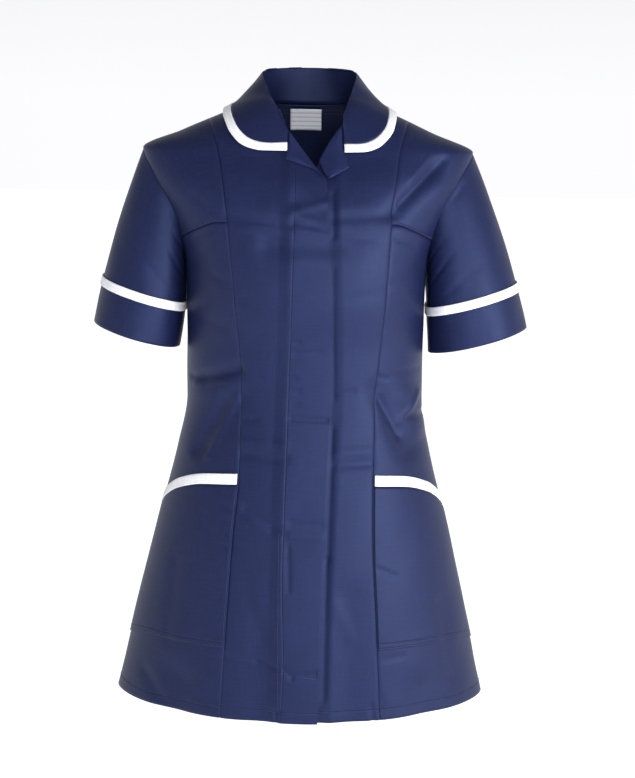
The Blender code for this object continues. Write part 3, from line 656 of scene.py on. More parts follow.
# %% Label and thread
BAND_PITCH_MM, BAND_HEIGHT_MM, BAND_BLUR_MM = 3.2, 1.1, 0.3
SATIN_THREAD_MM, SATIN_DEPTH_MM = 0.6, 0.04
PLY_MM = 0.5
THREAD_TURN = (0.6, 0.4, 0.7)


def label_satin():
    """White satin label: pale blue bands where (v mod pitch) is under the band's height."""
    material, tree, shader = new_material("white_damask_label")
    uv = node(tree, "ShaderNodeUVMap", {"uv_map": "thread_run"}).outputs["UV"]
    split = node(tree, "ShaderNodeSeparateXYZ", {}, {}, Vector=uv)
    band = node(tree, "ShaderNodeMath", {"operation": "PINGPONG"}, {1: BAND_PITCH_MM * MM})
    tree.links.new(split.outputs["Y"], band.inputs[0])
    edge = node(tree, "ShaderNodeMapRange", {},
                {"From Min": (BAND_HEIGHT_MM - BAND_BLUR_MM) * MM, "From Max": BAND_HEIGHT_MM * MM},
                Value=band.outputs[0])
    tree.links.new(mixed(tree, edge.outputs[0], "#cfdaf2", "#fbfbff"), shader.inputs["Base Color"])
    threads = node(tree, "ShaderNodeTexWave", {"bands_direction": "Y"},
                   {"Scale": 1 / (SATIN_THREAD_MM * MM) / BANDS_PER_SCALE}, Vector=uv)
    tree.links.new(bump(tree, threads.outputs["Fac"], SATIN_DEPTH_MM), shader.inputs["Normal"])
    shader.inputs["Roughness"].default_value = 0.45
    return material


def sewing_thread(name, base, ply_groove_shade):
    """Spun two-ply polyester sewing thread, with slanting bands of painted shade in its grooves."""
    material, tree, shader = new_material(name)
    place = node(tree, "ShaderNodeTexCoord").outputs["Object"]
    mapped = node(tree, "ShaderNodeMapping", {}, {"Rotation": THREAD_TURN}, Vector=place)
    ply_groove_bands = node(tree, "ShaderNodeTexWave", {}, {"Scale": 1 / (PLY_MM * MM) / BANDS_PER_SCALE},
                 Vector=mapped.outputs[0])
    # The darker colour is painted shade for the grooves between the thread's strands.
    colour = mixed(tree, ply_groove_bands.outputs["Fac"], ply_groove_shade, base)
    tree.links.new(colour, shader.inputs["Base Color"])
    shader.inputs["Roughness"].default_value = 0.5
    shader.inputs["Sheen Weight"].default_value = 0.2
    return material


LABEL_WHITE = label_satin()
# Each thread's second, darker colour is painted shade for the grooves between its strands.
NAVY_THREAD = sewing_thread("navy_polyester_thread", "#1d2450", "#12173a")
WHITE_THREAD = sewing_thread("white_polyester_thread", "#f4f5f9", "#cfd3de")
print("label and thread:", LABEL_WHITE.name, NAVY_THREAD.name, WHITE_THREAD.name)

# %% [markdown]
# ## Sewing
#
# A lockstitch shows as short threads end to end, each sunk where the needle went in. Each stitch
# here is one small spindle of a few faces, laid along a line on the cloth. The stitches of a row
# are worked out as one array, and all rows of one colour are joined into one mesh.

# %% Rows of stitches
STITCH_PITCH, STITCH_LENGTH, THREAD_RADIUS, ON_CLOTH = 3.0, 2.5, 0.26, 0.05
SPINDLE = np.array([
    # share along the stitch, share of the radius, height over the cloth in radii
    (0.00, 0.25, -0.7),
    (0.22, 1.00, 0.15),
    (0.50, 1.10, 0.45),
    (0.78, 1.00, 0.15),
    (1.00, 0.25, -0.7),
])
stitch_rows = {"navy": [], "white": []}


def add_stitches(colour, line, normal, pitch=STITCH_PITCH):
    """Spindles along a polyline: place = start + run * share + ring * radius."""
    run = run_along(line)
    count = max(int(run[-1] / pitch), 1)
    starts = (np.arange(count) + 0.5 * (1 - STITCH_LENGTH / pitch)) * run[-1] / count
    place = along(line, starts / run[-1], run / run[-1])
    end = along(line, (starts + STITCH_LENGTH) / run[-1], run / run[-1])
    up = along(normal, (starts + STITCH_LENGTH / 2) / run[-1], run / run[-1])
    way = end - place
    side = np.cross(way, up)
    side /= np.linalg.norm(side, axis=1, keepdims=True)
    turn = np.radians([45, 135, 225, 315])
    ring = (np.cos(turn)[:, None, None] * side[None] + np.sin(turn)[:, None, None] * up[None])
    rings = []
    for share, size, height in SPINDLE:
        centre = place + way * share + up * height * THREAD_RADIUS
        rings.append(centre[None] + ring * size * THREAD_RADIUS)
    stitch_rows[colour].append(np.stack(rings, axis=1).transpose(2, 1, 0, 3))


def spindle_faces():
    """Quads between the spindle's rings, and a cap at each end."""
    rings, sides = len(SPINDLE), 4
    quads = [(r * sides + k, r * sides + (k + 1) % sides, (r + 1) * sides + (k + 1) % sides,
              (r + 1) * sides + k) for r in range(rings - 1) for k in range(sides)]
    return np.array(quads + [(3, 2, 1, 0), tuple((rings - 1) * sides + k for k in range(sides))])


def sew(colour, name, material):
    """Joins all rows of one colour into a mesh that lies on the cloth."""
    points = np.concatenate(stitch_rows[colour])
    each = points.shape[1] * points.shape[2]
    faces = spindle_faces()[None] + (np.arange(len(points)) * each)[:, None, None]
    mesh = bpy.data.meshes.new(name)
    mesh.from_pydata((points.reshape(-1, 3) * MM).tolist(), [], faces.reshape(-1, 4).tolist())
    mesh.shade_smooth()
    mesh.materials.append(material)
    piece = bpy.data.objects.new(name, mesh)
    bpy.context.scene.collection.objects.link(piece)
    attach(piece, "root")
    print(name, "stitches:", len(points))


# %% Dressing a node
def dress(piece, material, cut):
    """Gives a shell its finish, lets it stand for its node and states the size it was cut to."""
    piece.data.materials.append(material)
    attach(piece, "root")
    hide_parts(piece.name.removesuffix(SHELL))
    print(piece.name, "cut", cut, "mm")

# %% [markdown]
# ## The fronts
#
# Each front is a centre panel and two side pieces joined by a long curved seam. The wearer's right
# centre front laps over the left one and hides the fastening, so it steps out over it like a real
# fly. The panels share their stops along every seam, and their edges roll in where they are sewn.

# %% Seam tables
SEAM_GAP = 0.2
PRINCESS = np.array([
    # z, right_x, left_x
    (-752, 97, 101),
    (-640, 91, 94),
    (-515, 83, 87),
    (-447, 77, 86),
    (-365, 76, 87),
    (-300, 78, 91),
    (-235, 84, 96),
    (-144, 93, 101),
    (-62, 106, 109),
    (-24, 121, 121),
])
PRINCESS_X = {RIGHT: 1, LEFT: 2}
FLY_EDGE = np.array([
    # z, edge_x, under_edge_x
    (-752, 23, -21),
    (-600, 25, -22),
    (-450, 29, -20),
    (-360, 32, -18),
    (-200, 28, -15),
    (-95, 23, -16),
])
EDGE_X, UNDER_EDGE_X = 1, 2
FLY_RISE, FLY_RAMP, FLY_LEAD = 3.0, 12, 1.3
FLY_STITCH = np.array([
    # z, x of the row of sewing that holds the fly
    (-752, -22),
    (-684, -19.5),
    (-576, -22.4),
    (-483, -20.7),
    (-353, -18.2),
    (-215, -15.3),
    (-110, -14.0),
])
BUST_SEAM = np.array([
    # x, z
    (90, -143.5),
    (107, -145),
    (129, -153.5),
    (156, -168),
])
BUST_AT_ARMHOLE = np.radians(126)
ARMHOLE_REACH = {"front": 56, "back": 62}
UPPER_TURNS = np.linspace(0, BUST_AT_ARMHOLE, 41)
LOWER_TURNS = np.linspace(BUST_AT_ARMHOLE, np.pi, 19)
BACK_TURNS = np.linspace(np.pi, 2 * np.pi, 61)
SIDE_SEAM_ROWS = 161
SIDE_CROWDING = 1.3
NECKLINE = {
    RIGHT: np.array([(-84.8, -38), (-80, -23), (-70, -12), (-53, -3), (-27, 0.3), (0, 0),
                     (25, -1), (50, -4), (70, -7), (90, -8)]),
    LEFT: np.array([(-76.6, -28), (-72, -17), (-63, -9), (-50, -3), (-27, 0.3), (0, 0),
                    (25, -1), (50, -4), (70, -7), (90, -8)]),
}
ROLL_LINE = {
    RIGHT: np.array([(-23, -38), (-11, -53), (6, -75), (23, -95)]),
    LEFT: np.array([(41, -28), (26, -49), (13, -73), (0, -97), (-16, -118)]),
}
HEM_STITCH_UP = 13.5
ALLOWANCE = ((0.15, 1.5), (1.5, 1.9), (7.0, 1.9))
UNDERARM_FADE, REACH_LEAST = 25.0, 0.05
EDGE_COLUMNS = (0, 0.006, 0.013, 0.024, 0.04)


def crowded(count):
    """Shares 0..1 with close columns near both ends, where the cloth rolls into its seams."""
    inner = np.linspace(EDGE_COLUMNS[-1], 1 - EDGE_COLUMNS[-1], count)
    ends = np.array(EDGE_COLUMNS[:-1])
    return np.concatenate([ends, inner, 1 - ends[::-1]])


def princess(low_z, high_z, side):
    """Fine polyline up the princess seam."""
    z = np.linspace(low_z, high_z, 400)
    return front_point(smooth(PRINCESS, PRINCESS_X[side], z), z)


def armhole(turn):
    """Points of the armhole at +X: front turns are 0..pi and back turns pi..2 pi."""
    middle, half = (SHOULDER_Z + UNDERARM_Z) / 2, (SHOULDER_Z - UNDERARM_Z) / 2
    z = middle + half * np.cos(turn)
    reach = np.where(np.sin(turn) > 0, ARMHOLE_REACH["front"], ARMHOLE_REACH["back"])
    y = -reach * np.sin(turn)
    width, depth, m, n = level(z, y)
    return np.stack([width * (1 - (np.abs(y) / depth) ** n) ** (1 / m), y, z], axis=-1)


def bust_seam(share, side):
    """Points along the bust seam, from the princess seam to the armhole."""
    end = armhole(BUST_AT_ARMHOLE)
    start_x = smooth(PRINCESS, PRINCESS_X[side], BUST_SEAM[0, 1])
    x = start_x + (end[0] - start_x) * share
    seam = front_point(x, smooth(BUST_SEAM, 1, x))
    return seam + share[:, None] ** 3 * (end - seam[-1])


def neckline(angle, side):
    """Points of the neckline at angles round the body."""
    return body(angle, smooth(NECKLINE[side], 1, angle))


def shoulder_seam(high_z, low_z, share):
    """Points down the shoulder's crest, from one height to another."""
    return body(0.0, high_z + (low_z - high_z) * share)


def side_seam():
    """Points up the side seam, from the hem to the underarm."""
    return body(0.0, np.linspace(HEM_Z, UNDERARM_Z, SIDE_SEAM_ROWS))


def princess_stops(side):
    """Points up the princess seam that the three panels along it share."""
    lower = evenly(princess(HEM_Z, BUST_SEAM[0, 1], side),
                   np.linspace(0, 1, SIDE_SEAM_ROWS + len(LOWER_TURNS) - 1))
    upper = evenly(princess(BUST_SEAM[0, 1], PRINCESS_TOP_Z, side),
                   np.linspace(0, 1, len(UPPER_TURNS)))
    return np.vstack([lower, upper[1:]])


def shrink(points, gap, sides):
    """Moves the named edges of a grid inward, so that two sewn pieces stay apart."""
    points = points.copy()
    moves = {"bottom": (np.s_[:, 0], np.s_[:, 1]), "top": (np.s_[:, -1], np.s_[:, -2]),
             "inner": (np.s_[0], np.s_[1]), "outer": (np.s_[-1], np.s_[-2])}
    for side in sides:
        edge, beside = moves[side]
        way = points[beside] - points[edge]
        points[edge] += way / np.linalg.norm(way, axis=-1, keepdims=True) * gap
    return points


def edge_rows(values, edge):
    """A grid turned so that the named edge is its last row. Turned twice, it is as before."""
    return {"inner": values[::-1], "outer": values, "top": values.swapaxes(0, 1)}[edge]


def with_allowance(points, normal, lines, edge):
    """Adds the seam allowance past one edge: down below the neighbour's cloth, then under it.

    new row k = edge + way * run_k * reach - normal * fall_k, with way square to the seam. On the
    outer edge reach falls to nearly 0 from the underarm up, where the sleeve lies.
    """
    rows, up = edge_rows(points, edge), edge_rows(normal, edge)
    reach = 1.0
    if edge == "outer":
        reach = np.clip((UNDERARM_Z - rows[-1][:, 2:]) / UNDERARM_FADE, REACH_LEAST, 1)
    way = rows[-1] - rows[-3]
    way = way - up[-1] * (way * up[-1]).sum(axis=-1, keepdims=True)
    way /= np.linalg.norm(way, axis=-1, keepdims=True)
    added = [rows[-1] + way * run * reach - up[-1] * fall for run, fall in ALLOWANCE]

    def grown(values, extra=None):
        """A grid with rows added past the edge: the given ones, or its last one repeated."""
        turned = edge_rows(values, edge)
        extra = [turned[-1]] * len(ALLOWANCE) if extra is None else extra
        return edge_rows(np.concatenate([turned, extra]), edge)

    return grown(points, added), grown(normal), [grown(line) for line in lines]


def panel(name, grid, side, sewn=(), lift=0.0, wall=CLOTH_WALL, lines=(), allowance=()):
    """A body panel from its grid of points on one side, given at +X. Sewn edges roll in."""
    points, normal = lifted(grid, side, lift + seam_roll(grid, sewn))
    points = shrink(points, SEAM_GAP / 2, sewn)
    for edge in allowance:
        points, normal, lines = with_allowance(points, normal, lines, edge)
    return cloth(name, points, normal, wall, lines=lines)


def side_name(side):
    """The wearer's side, as the names of the pieces have it."""
    return "left" if side == LEFT else "right"


# %% Centre fronts
FRONT_CUT = (152, 745, 0.79)
NECK_FROM, NECK_TO = 0.46, 0.9
NECK_HOLD = 3


def fly_lift(grid, side):
    """The right front steps out over the fly and the left front steps in below it."""
    x, z = grid[..., 0] * side, grid[..., 2]
    if side == RIGHT:
        rise, past = FLY_RISE, x - smooth(FLY_EDGE, UNDER_EDGE_X, z)
    else:
        rise, past = -FLY_RISE, smooth(FLY_EDGE, EDGE_X, z) - x
    return rise * np.clip(past / FLY_RAMP + FLY_LEAD, 0, 1)


def top_edge(side, roll, share):
    """Top of a centre front: roll line, then the neckline, then the shoulder seam's inner end."""
    rolled = front_point(*along(roll, np.linspace(0, 1, 60)).T)
    neck = neckline(np.linspace(NECKLINE[side][0, 0], 0, 300), side)
    shoulder = body(0.0, np.linspace(0, PRINCESS_TOP_Z, 30))
    neck_run = run_along(neck)
    knots = np.concatenate([
        np.linspace(0, NECK_FROM, 60)[:-1],
        NECK_FROM + (NECK_TO - NECK_FROM) * neck_run[:-1] / neck_run[-1],
        np.linspace(NECK_TO, 1, 30),
    ])
    return along(np.vstack([rolled[:-1], neck[:-1], shoulder]), share, knots)


def centre_front(side):
    """Centre front of one side, from its front edge to the princess seam."""
    share = crowded(44)
    roll = ROLL_LINE[side][::-1] * np.array([side, 1])
    outer = princess_stops(side)
    rows = len(outer)
    edge_z = np.linspace(HEM_Z, roll[0, 1], rows)
    edge_column = EDGE_X if side == RIGHT else UNDER_EDGE_X
    front_x = side * smooth(FLY_EDGE, edge_column, edge_z)
    front_x += np.linspace(0, 1, rows) ** 6 * (roll[0, 0] - front_x[-1])
    inner = front_point(front_x, edge_z)
    bottom = front_point(inner[0, 0] + (outer[0, 0] - inner[0, 0]) * share, HEM_Z)
    top = top_edge(side, roll, share)
    grid = patch(bottom, top, inner, outer, share, NECK_HOLD)
    name = f"front_centre_{side_name(side)}"
    fly = grid[..., 0] * side - smooth(FLY_STITCH, 1, grid[..., 2])
    hem = grid[..., 2] - (HEM_Z + HEM_STITCH_UP)
    lines = (hem, fly) if side == RIGHT else (hem,)
    piece = panel(name, grid, side, ("outer",), fly_lift(grid, side), lines=lines)
    dress(piece, NAVY, FRONT_CUT)


centre_front(RIGHT)
centre_front(LEFT)

# %% Side fronts
UPPER_SIDE_CUT, LOWER_SIDE_CUT = (110, 184, 0.78), (192, 626, 0.74)
BUST_STITCH_UP = 2.6


def side_front_upper(side):
    """Side front above the bust seam, up to the shoulder and round to the armhole."""
    share = crowded(34)
    grid = patch(bust_seam(share, side), shoulder_seam(PRINCESS_TOP_Z, SHOULDER_Z, share),
                 princess_stops(side)[-len(UPPER_TURNS):], armhole(UPPER_TURNS[::-1]), share)
    _, rise = runs(grid)
    name = f"side_front_upper_{side_name(side)}"
    sewn = ("inner", "outer", "bottom", "top")
    piece = panel(name, grid, side, sewn, lines=(rise - BUST_STITCH_UP,),
                  allowance=("inner", "top"))
    dress(piece, NAVY, UPPER_SIDE_CUT)


def side_front_lower(side):
    """Side front below the bust seam, with the side seam behind it and the hem below."""
    share = 1 - (1 - crowded(60)) ** SIDE_CROWDING
    top = bust_seam(share, side)
    outer = np.vstack([side_seam(), armhole(LOWER_TURNS[::-1])[1:]])
    inner = princess_stops(side)[:len(outer)]
    hem = body(np.linspace(-90, 0, 600), HEM_Z)
    bottom = evenly(np.vstack([inner[:1], hem[hem[:, 0] > inner[0, 0]]]), share)
    grid = patch(bottom, top, inner, outer, share)
    name = f"side_front_lower_{side_name(side)}"
    hem_line = grid[..., 2] - (HEM_Z + HEM_STITCH_UP)
    piece = panel(name, grid, side, ("inner", "outer", "top"), lines=(hem_line,),
                  allowance=("inner", "top", "outer"))
    dress(piece, NAVY, LOWER_SIDE_CUT)


for side in (RIGHT, LEFT):
    side_front_upper(side)
    side_front_lower(side)

# %% [markdown]
# ## The back
#
# The picture never shows the outside of the back, so it is one plain panel, as the frame has it.
# Half of its grid is worked out and the other half is its mirror, and the folds are then laid over
# both halves unevenly, because real cloth never hangs the same on both sides.

# %% Back panel
BACK_CUT = (580, 765, 0.79)


def back_panel():
    """The whole back, from side seam to side seam and from the hem to the neckline."""
    share = crowded(96) ** SIDE_CROWDING
    inner = np.vstack([side_seam(), armhole(BACK_TURNS)[1:]])
    neck = neckline(np.linspace(0, 90, 400), LEFT)
    shoulder = body(0.0, np.linspace(SHOULDER_Z, 0, 60))
    neck_run = run_along(neck)
    knots = np.concatenate([
        np.linspace(0, 0.5, 60)[:-1] ** SIDE_CROWDING,
        (0.5 + 0.5 * neck_run / neck_run[-1]) ** SIDE_CROWDING,
    ])
    top = along(np.vstack([shoulder[:-1], neck]), share, knots)
    bottom = evenly(body(np.linspace(0, 90, 600), HEM_Z), share)
    middle = evenly(body(90.0, np.linspace(HEM_Z, top[-1, 2], 600)), np.linspace(0, 1, len(inner)))
    inner[-1] = top[0]
    left = patch(bottom, top, inner, middle, share)
    grid = np.vstack([left, left[-2::-1] * np.array([-1, 1, 1])])
    hem = grid[..., 2] - (HEM_Z + HEM_STITCH_UP)
    piece = panel("back", grid, LEFT, ("inner", "outer"), lines=(hem,))
    dress(piece, NAVY, BACK_CUT)


back_panel()

# %% [markdown]
# ## Sleeves, cuffs and their white tape
#
# A sleeve is a tube of straight lines from the armhole to the hem, bowed a little outward. Short
# ridges and troughs run round it, most of them under the arm, where a sleeve always bunches. The
# cuff is a doubled band, and a white tape covers the seam between them.

# %% Sleeve tables
ARMHOLE_GAP = 0.2
HEAD_ROLL = 0.9
HEAD_ALLOWANCE = ((0.6, 2.3), (6.0, 2.6))
CUFF_HEM = {
    # outer_x, outer_z, inner_x, inner_z, half_depth
    RIGHT: (264, -276, 157, -307, 62),
    LEFT: (276, -275, 154, -309, 62),
}
CUFF_HEIGHT = 50
TAPE_LOW, TAPE_TOP = 47, 58
SLEEVE_SWELL = 5
INNER_SWELL = {RIGHT: 3.5, LEFT: 1.0}
TAPE_WALL, LAYER_GAP = 1.0, 0.8
SLEEVE_CREASES = np.array([
    # side, turn in degrees (0 top, 90 front, 180 underarm), height from the hem, slant, length in
    # degrees, depth, half_width in mm
    (-1, 150, 158, 0.20, 34, -1.6, 4.0),
    (-1, 168, 140, 0.10, 30, -1.2, 3.5),
    (-1, 128, 120, -0.25, 26, -0.9, 5.0),
    (-1, 60, 176, 0.30, 24, -1.0, 6.0),
    (-1, 96, 86, -0.35, 30, -0.7, 6.0),
    (-1, 214, 146, -0.15, 36, -1.4, 4.5),
    (-1, 262, 116, 0.25, 34, -1.0, 6.0),
    (-1, 318, 170, -0.30, 26, -0.9, 6.0),
    (1, 152, 152, 0.18, 36, -1.7, 4.0),
    (1, 172, 132, 0.08, 28, -1.2, 3.5),
    (1, 124, 112, -0.22, 30, -1.0, 5.0),
    (1, 70, 168, 0.26, 22, -1.0, 6.0),
    (1, 100, 80, -0.30, 28, -0.8, 6.0),
    (1, 210, 150, -0.18, 32, -1.4, 4.5),
    (1, 258, 108, 0.22, 30, -1.1, 6.0),
    (1, 312, 160, -0.28, 28, -0.9, 6.0),
])


def sleeve_lines(side, turn):
    """Armhole points, cuff hem points and outward directions of a sleeve's straight lines."""
    start, _ = lifted(armhole(turn), side, -HEAD_ROLL)
    start = start + np.array([side * ARMHOLE_GAP, 0, 0])
    outer_x, outer_z, inner_x, inner_z, half_depth = CUFF_HEM[side]
    centre = np.array([(outer_x + inner_x) / 2 * side, 0, (outer_z + inner_z) / 2])
    half_span = np.array([(outer_x - inner_x) / 2 * side, 0, (outer_z - inner_z) / 2])
    cos, sin = np.cos(turn)[:, None], np.sin(turn)[:, None]
    radial = cos * half_span + sin * np.array([0, -half_depth, 0])
    outward = radial / np.linalg.norm(radial, axis=1, keepdims=True)
    inner_share = (0.5 - 0.5 * np.cos(turn)) ** 2
    swell = SLEEVE_SWELL * (0.5 + 0.5 * np.cos(turn)) ** 0.5 + INNER_SWELL[side] * inner_share
    return start, centre + radial, outward, swell


def head_allowance(side, turn):
    """Rows that turn in from the sleeve's head and lie under the panels round the armhole."""
    place = armhole(turn)
    normal, _ = body_normal(place)
    tangent = np.roll(place, -1, axis=0) - np.roll(place, 1, axis=0)
    inward = np.cross(normal, tangent)
    inward /= np.linalg.norm(inward, axis=1, keepdims=True)
    middle = place.mean(axis=0)
    inward *= np.sign((inward * (place - middle)).sum(axis=1, keepdims=True))
    rows = [lifted(settle(place + inward * run), side, -fall)[0] for run, fall in HEAD_ALLOWANCE]
    return np.stack(rows, axis=1)


def sleeve_relief(side, turn, height):
    """Creases across the sleeve, and ease at its top: sum of bell curves round their lines."""
    degrees = np.degrees(turn)[:, None]
    total = np.zeros((len(turn), len(height)))
    for row_side, at, up, slant, span, depth, half_width in SLEEVE_CREASES:
        if row_side != side:
            continue
        away = degrees - at
        across = (height[None] - up - slant * away) / half_width
        total += depth * np.exp(-across ** 2 - (away / span) ** 2)
    wave = np.sin(np.radians(degrees) * 7 + height[None] / 19) * np.sin(height[None] / 27 + side)
    return total + SLUB_DEPTH * wave


def sleeve_grid(side, turn, height, rise):
    """Points of a sleeve at heights above its hem: line + outward * (bow + rise)."""
    start, end, outward, swell = sleeve_lines(side, turn)
    length = np.linalg.norm(start - end, axis=1)[:, None]
    t = (1 - height / length)[..., None]
    out = 4 * t * (1 - t) * swell[:, None, None] + rise[..., None]
    points = start[:, None] * (1 - t) + end[:, None] * t + outward[:, None] * out
    return points, np.broadcast_to(outward[:, None], points.shape)


def creased_grid(side, turn, height, lift=0.0):
    """Points of a sleeve with its creases, lift mm above the plain cloth."""
    return sleeve_grid(side, turn, height, sleeve_relief(side, turn, height) + lift)


# %% Sleeves, cuffs and tapes
SLEEVE_CUT, CUFF_CUT, TAPE_CUT = (418, 176, 0.61), (396, 52, 0.95), (403, 12, 0.95)
SLEEVE_TURNS = np.linspace(0, 2 * np.pi, 161)[:-1]
SLEEVE_ROWS, HEAD_FADE = 62, 0.06
TAPE_CROWN, TAPE_ROW_IN, TAPE_ROW_LIFT = 0.25, 1.4, 0.15


def sleeve(side):
    """Sleeve, doubled cuff and stitched white tape of one side."""
    name = side_name(side)
    start, end, *_ = sleeve_lines(side, SLEEVE_TURNS)
    length = np.linalg.norm(start - end, axis=1)
    low = CUFF_HEIGHT + SEAM_GAP
    share = np.linspace(0, 1, SLEEVE_ROWS)
    rise = sleeve_relief(side, SLEEVE_TURNS, np.linspace(low, length.mean(), SLEEVE_ROWS))
    rise *= np.clip((1 - share) / HEAD_FADE, 0, 1)
    heights = low + (length[:, None] - low) * share
    points, normal = sleeve_grid(side, SLEEVE_TURNS, heights, rise)
    points = np.concatenate([points, head_allowance(side, SLEEVE_TURNS)], axis=1)
    normal = np.broadcast_to(normal[:, :1], points.shape)
    piece = cloth(f"sleeve_{name}", points, normal, ring=True)
    dress(piece, NAVY, SLEEVE_CUT)

    points, normal = creased_grid(side, SLEEVE_TURNS, np.linspace(0, CUFF_HEIGHT, 18))
    piece = cloth(f"cuff_{name}", points, normal, FOLDED_WALL, ring=True)
    dress(piece, NAVY, CUFF_CUT)

    points, normal = creased_grid(side, SLEEVE_TURNS, np.linspace(TAPE_LOW, TAPE_TOP, 9),
                                  TAPE_WALL + LAYER_GAP + crown(TAPE_CROWN, 9))
    piece = cloth(f"cuff_tape_{name}", points, normal, TAPE_WALL, ring=True)
    dress(piece, WHITE, TAPE_CUT)
    for edge in (TAPE_LOW + TAPE_ROW_IN, TAPE_TOP - TAPE_ROW_IN):
        loop = np.append(SLEEVE_TURNS, 2 * np.pi)
        line, way = creased_grid(side, loop, np.array([edge]),
                                 TAPE_WALL + LAYER_GAP + TAPE_ROW_LIFT)
        add_stitches("white", line[:, 0], way[:, 0])


for side in (RIGHT, LEFT):
    sleeve(side)

# %% [markdown]
# ## Collar
#
# The collar is one folded piece: a stand that rises from the neckline and a fall that turns over
# it and ends in round leaves. Each station of the table gives a point of the fold in space and a
# point of the edge in plan, which drops onto the shoulders. White binding wraps the outer edge.

# %% Collar tables
COLLAR_BACK = [
    # station, fold_x, fold_y, fold_z, edge_x, edge_y
    (0.00, 0, 72, 40.5, 0, 95),
    (0.07, 16, 70.6, 40.3, 22, 94),
    (0.14, 30, 65.5, 39.6, 43, 87),
    (0.28, 51, 46, 37.2, 78, 62),
    (0.42, 57, 20, 33.0, 97, 23),
]
COLLAR = {
    RIGHT: np.array(COLLAR_BACK + [
        (0.53, 55, -4, 25.5, 101, -8),
        (0.64, 49, -26, 14.5, 101, -38),
        (0.75, 41, -47, -1.0, 95, -64),
        (0.85, 33, -62, -15.0, 80, -79),
        (0.93, 28, -71, -26.0, 53, -85),
        (1.00, 24, -79, -36.0, 24, -86),
    ]),
    LEFT: np.array(COLLAR_BACK + [
        (0.53, 56, -4, 26.5, 103, -8),
        (0.64, 52, -26, 16.0, 104, -38),
        (0.75, 47, -45, 2.0, 101, -62),
        (0.85, 44, -58, -10.0, 89, -77),
        (0.93, 42, -67, -19.0, 68, -84),
        (1.00, 41, -75, -27.0, 43.5, -86),
    ]),
}
FOLD_RADIUS, FOLD_RADIUS_LEAST, FOLD_RADIUS_SHARE = 3.0, 1.2, 0.3
FOLD_FALL, FOLD_TOP = 1.5, 0.2  # In radii: where the fall starts, and the height of the fold.
COLLAR_WALL, COLLAR_BINDING_WALL, COLLAR_CROWN, COLLAR_ROW_AT = 0.7, 1.8, 0.35, 0.17
SHOULDER_STATION = 0.46
COLLAR_LIFT = 4.4
NECK_CLEARANCE = (0.9, 1.4, 2.5)
COLLAR_BINDING = 10.5
COLLAR_CUT, COLLAR_BINDING_CUT = (592, 120, 0.52), (642, 11.5, 0.87)


def drop(x, y):
    """Body point below a place in plan, found by halving its range of heights."""
    low, high = np.full(x.shape, -150.0), np.full(x.shape, 2.0)
    for _ in range(30):
        middle = (low + high) / 2
        inside = body_radius(np.stack([x, y, middle], axis=-1)) < 1
        low, high = np.where(inside, middle, low), np.where(inside, high, middle)
    return np.stack([x, y, low], axis=-1)


def clear_of_body(p, lift):
    """Moves points that lie less than lift outside the folded body surface out to it."""
    for _ in range(6):
        normal, distance = body_normal(p)
        short = np.where(p[..., 2] < 1, np.clip(lift + relief(p, FOLDS) - distance, 0, None), 0)
        p = p + normal * short[..., None]
    return p


def collar_sections(side, stations):
    """Neck, fold and edge points of the collar at each station of one side."""
    table = COLLAR[side]
    fold = np.stack([smooth(table, k, stations) for k in (1, 2, 3)], axis=-1)
    edge = drop(smooth(table, 4, stations), smooth(table, 5, stations))
    turn = np.interp(stations, (0, SHOULDER_STATION, 1), (90, 0, NECKLINE[side][0, 0]))
    mirror = np.array([side, 1, 1])
    return neckline(turn, side) * mirror, fold * mirror, edge * mirror


STAND_ROWS, RELAX_ROUNDS = 10, 14
BACK_EASE_ROUNDS, BACK_EASE_TO, BACK_EASE_FADE = 160, 0.5, 0.2


def eased(line, rounds):
    """A line of points with its corners rounded: each point moves towards its neighbours' mean."""
    line = line.copy()
    for _ in range(rounds):
        line[1:-1] = line[1:-1] / 2 + (line[:-2] + line[2:]) / 4
    return line


def collar_grid(stations=110, stand_rows=STAND_ROWS, crown_rows=7, fall_rows=26):
    """Points of the whole collar: up the stand, over a round fold and down the fall."""
    steps = np.linspace(0, 1, stations)
    halves = [collar_sections(side, steps) for side in (RIGHT, LEFT)]
    neck, fold, edge = (np.vstack([right[::-1], left[1:]]) for right, left in zip(*halves))
    across = np.abs(np.linspace(-1, 1, len(edge)))[:, None]
    back = np.clip((BACK_EASE_TO - across) / BACK_EASE_FADE, 0, 1)
    edge = edge * (1 - back) + eased(edge, BACK_EASE_ROUNDS) * back
    up, out = fold - neck, edge - fold
    height = np.linalg.norm(up, axis=1, keepdims=True)
    out_way = out / np.linalg.norm(out, axis=1, keepdims=True)
    up_way = up / height
    clearance = np.interp(np.abs(np.linspace(-1, 1, len(neck))), (0, 0.6, 1), NECK_CLEARANCE)
    neck = neck + up_way * clearance[:, None]
    radius = np.clip(height * FOLD_RADIUS_SHARE, FOLD_RADIUS_LEAST, FOLD_RADIUS)
    stand_top = fold - up_way * radius
    fall_start = fold + out_way * radius * FOLD_FALL
    stand = [neck + (stand_top - neck) * s for s in np.linspace(0, 1, stand_rows)]
    top = fold + up_way * radius * FOLD_TOP
    round_fold = [stand_top * (1 - s) ** 2 + 2 * s * (1 - s) * top + fall_start * s ** 2
                  for s in np.linspace(0, 1, crown_rows + 2)[1:-1]]
    fall = [fall_start + (edge - fall_start) * s for s in np.linspace(0, 1, fall_rows)]
    return np.stack(stand + round_fold + fall, axis=1), len(stand) + len(round_fold)


def grid_normals(points):
    """Unit cross product of a grid's two directions, turned so that its last rows face up."""
    normal = np.cross(np.gradient(points, axis=0), np.gradient(points, axis=1))
    normal *= np.sign(normal[:, -3:, 2].mean())
    return normal / np.linalg.norm(normal, axis=-1, keepdims=True)


def relaxed(points, rounds, first_row):
    """Each point moves to the mean of its four neighbours, some rounds over, inside first_row."""
    points = points.copy()
    for _ in range(rounds):
        mean = (points[:-2, 1:-1] + points[2:, 1:-1] + points[1:-1, :-2] + points[1:-1, 2:]) / 4
        points[1:-1, first_row + 1:-1] = mean[:, first_row:]
    return points


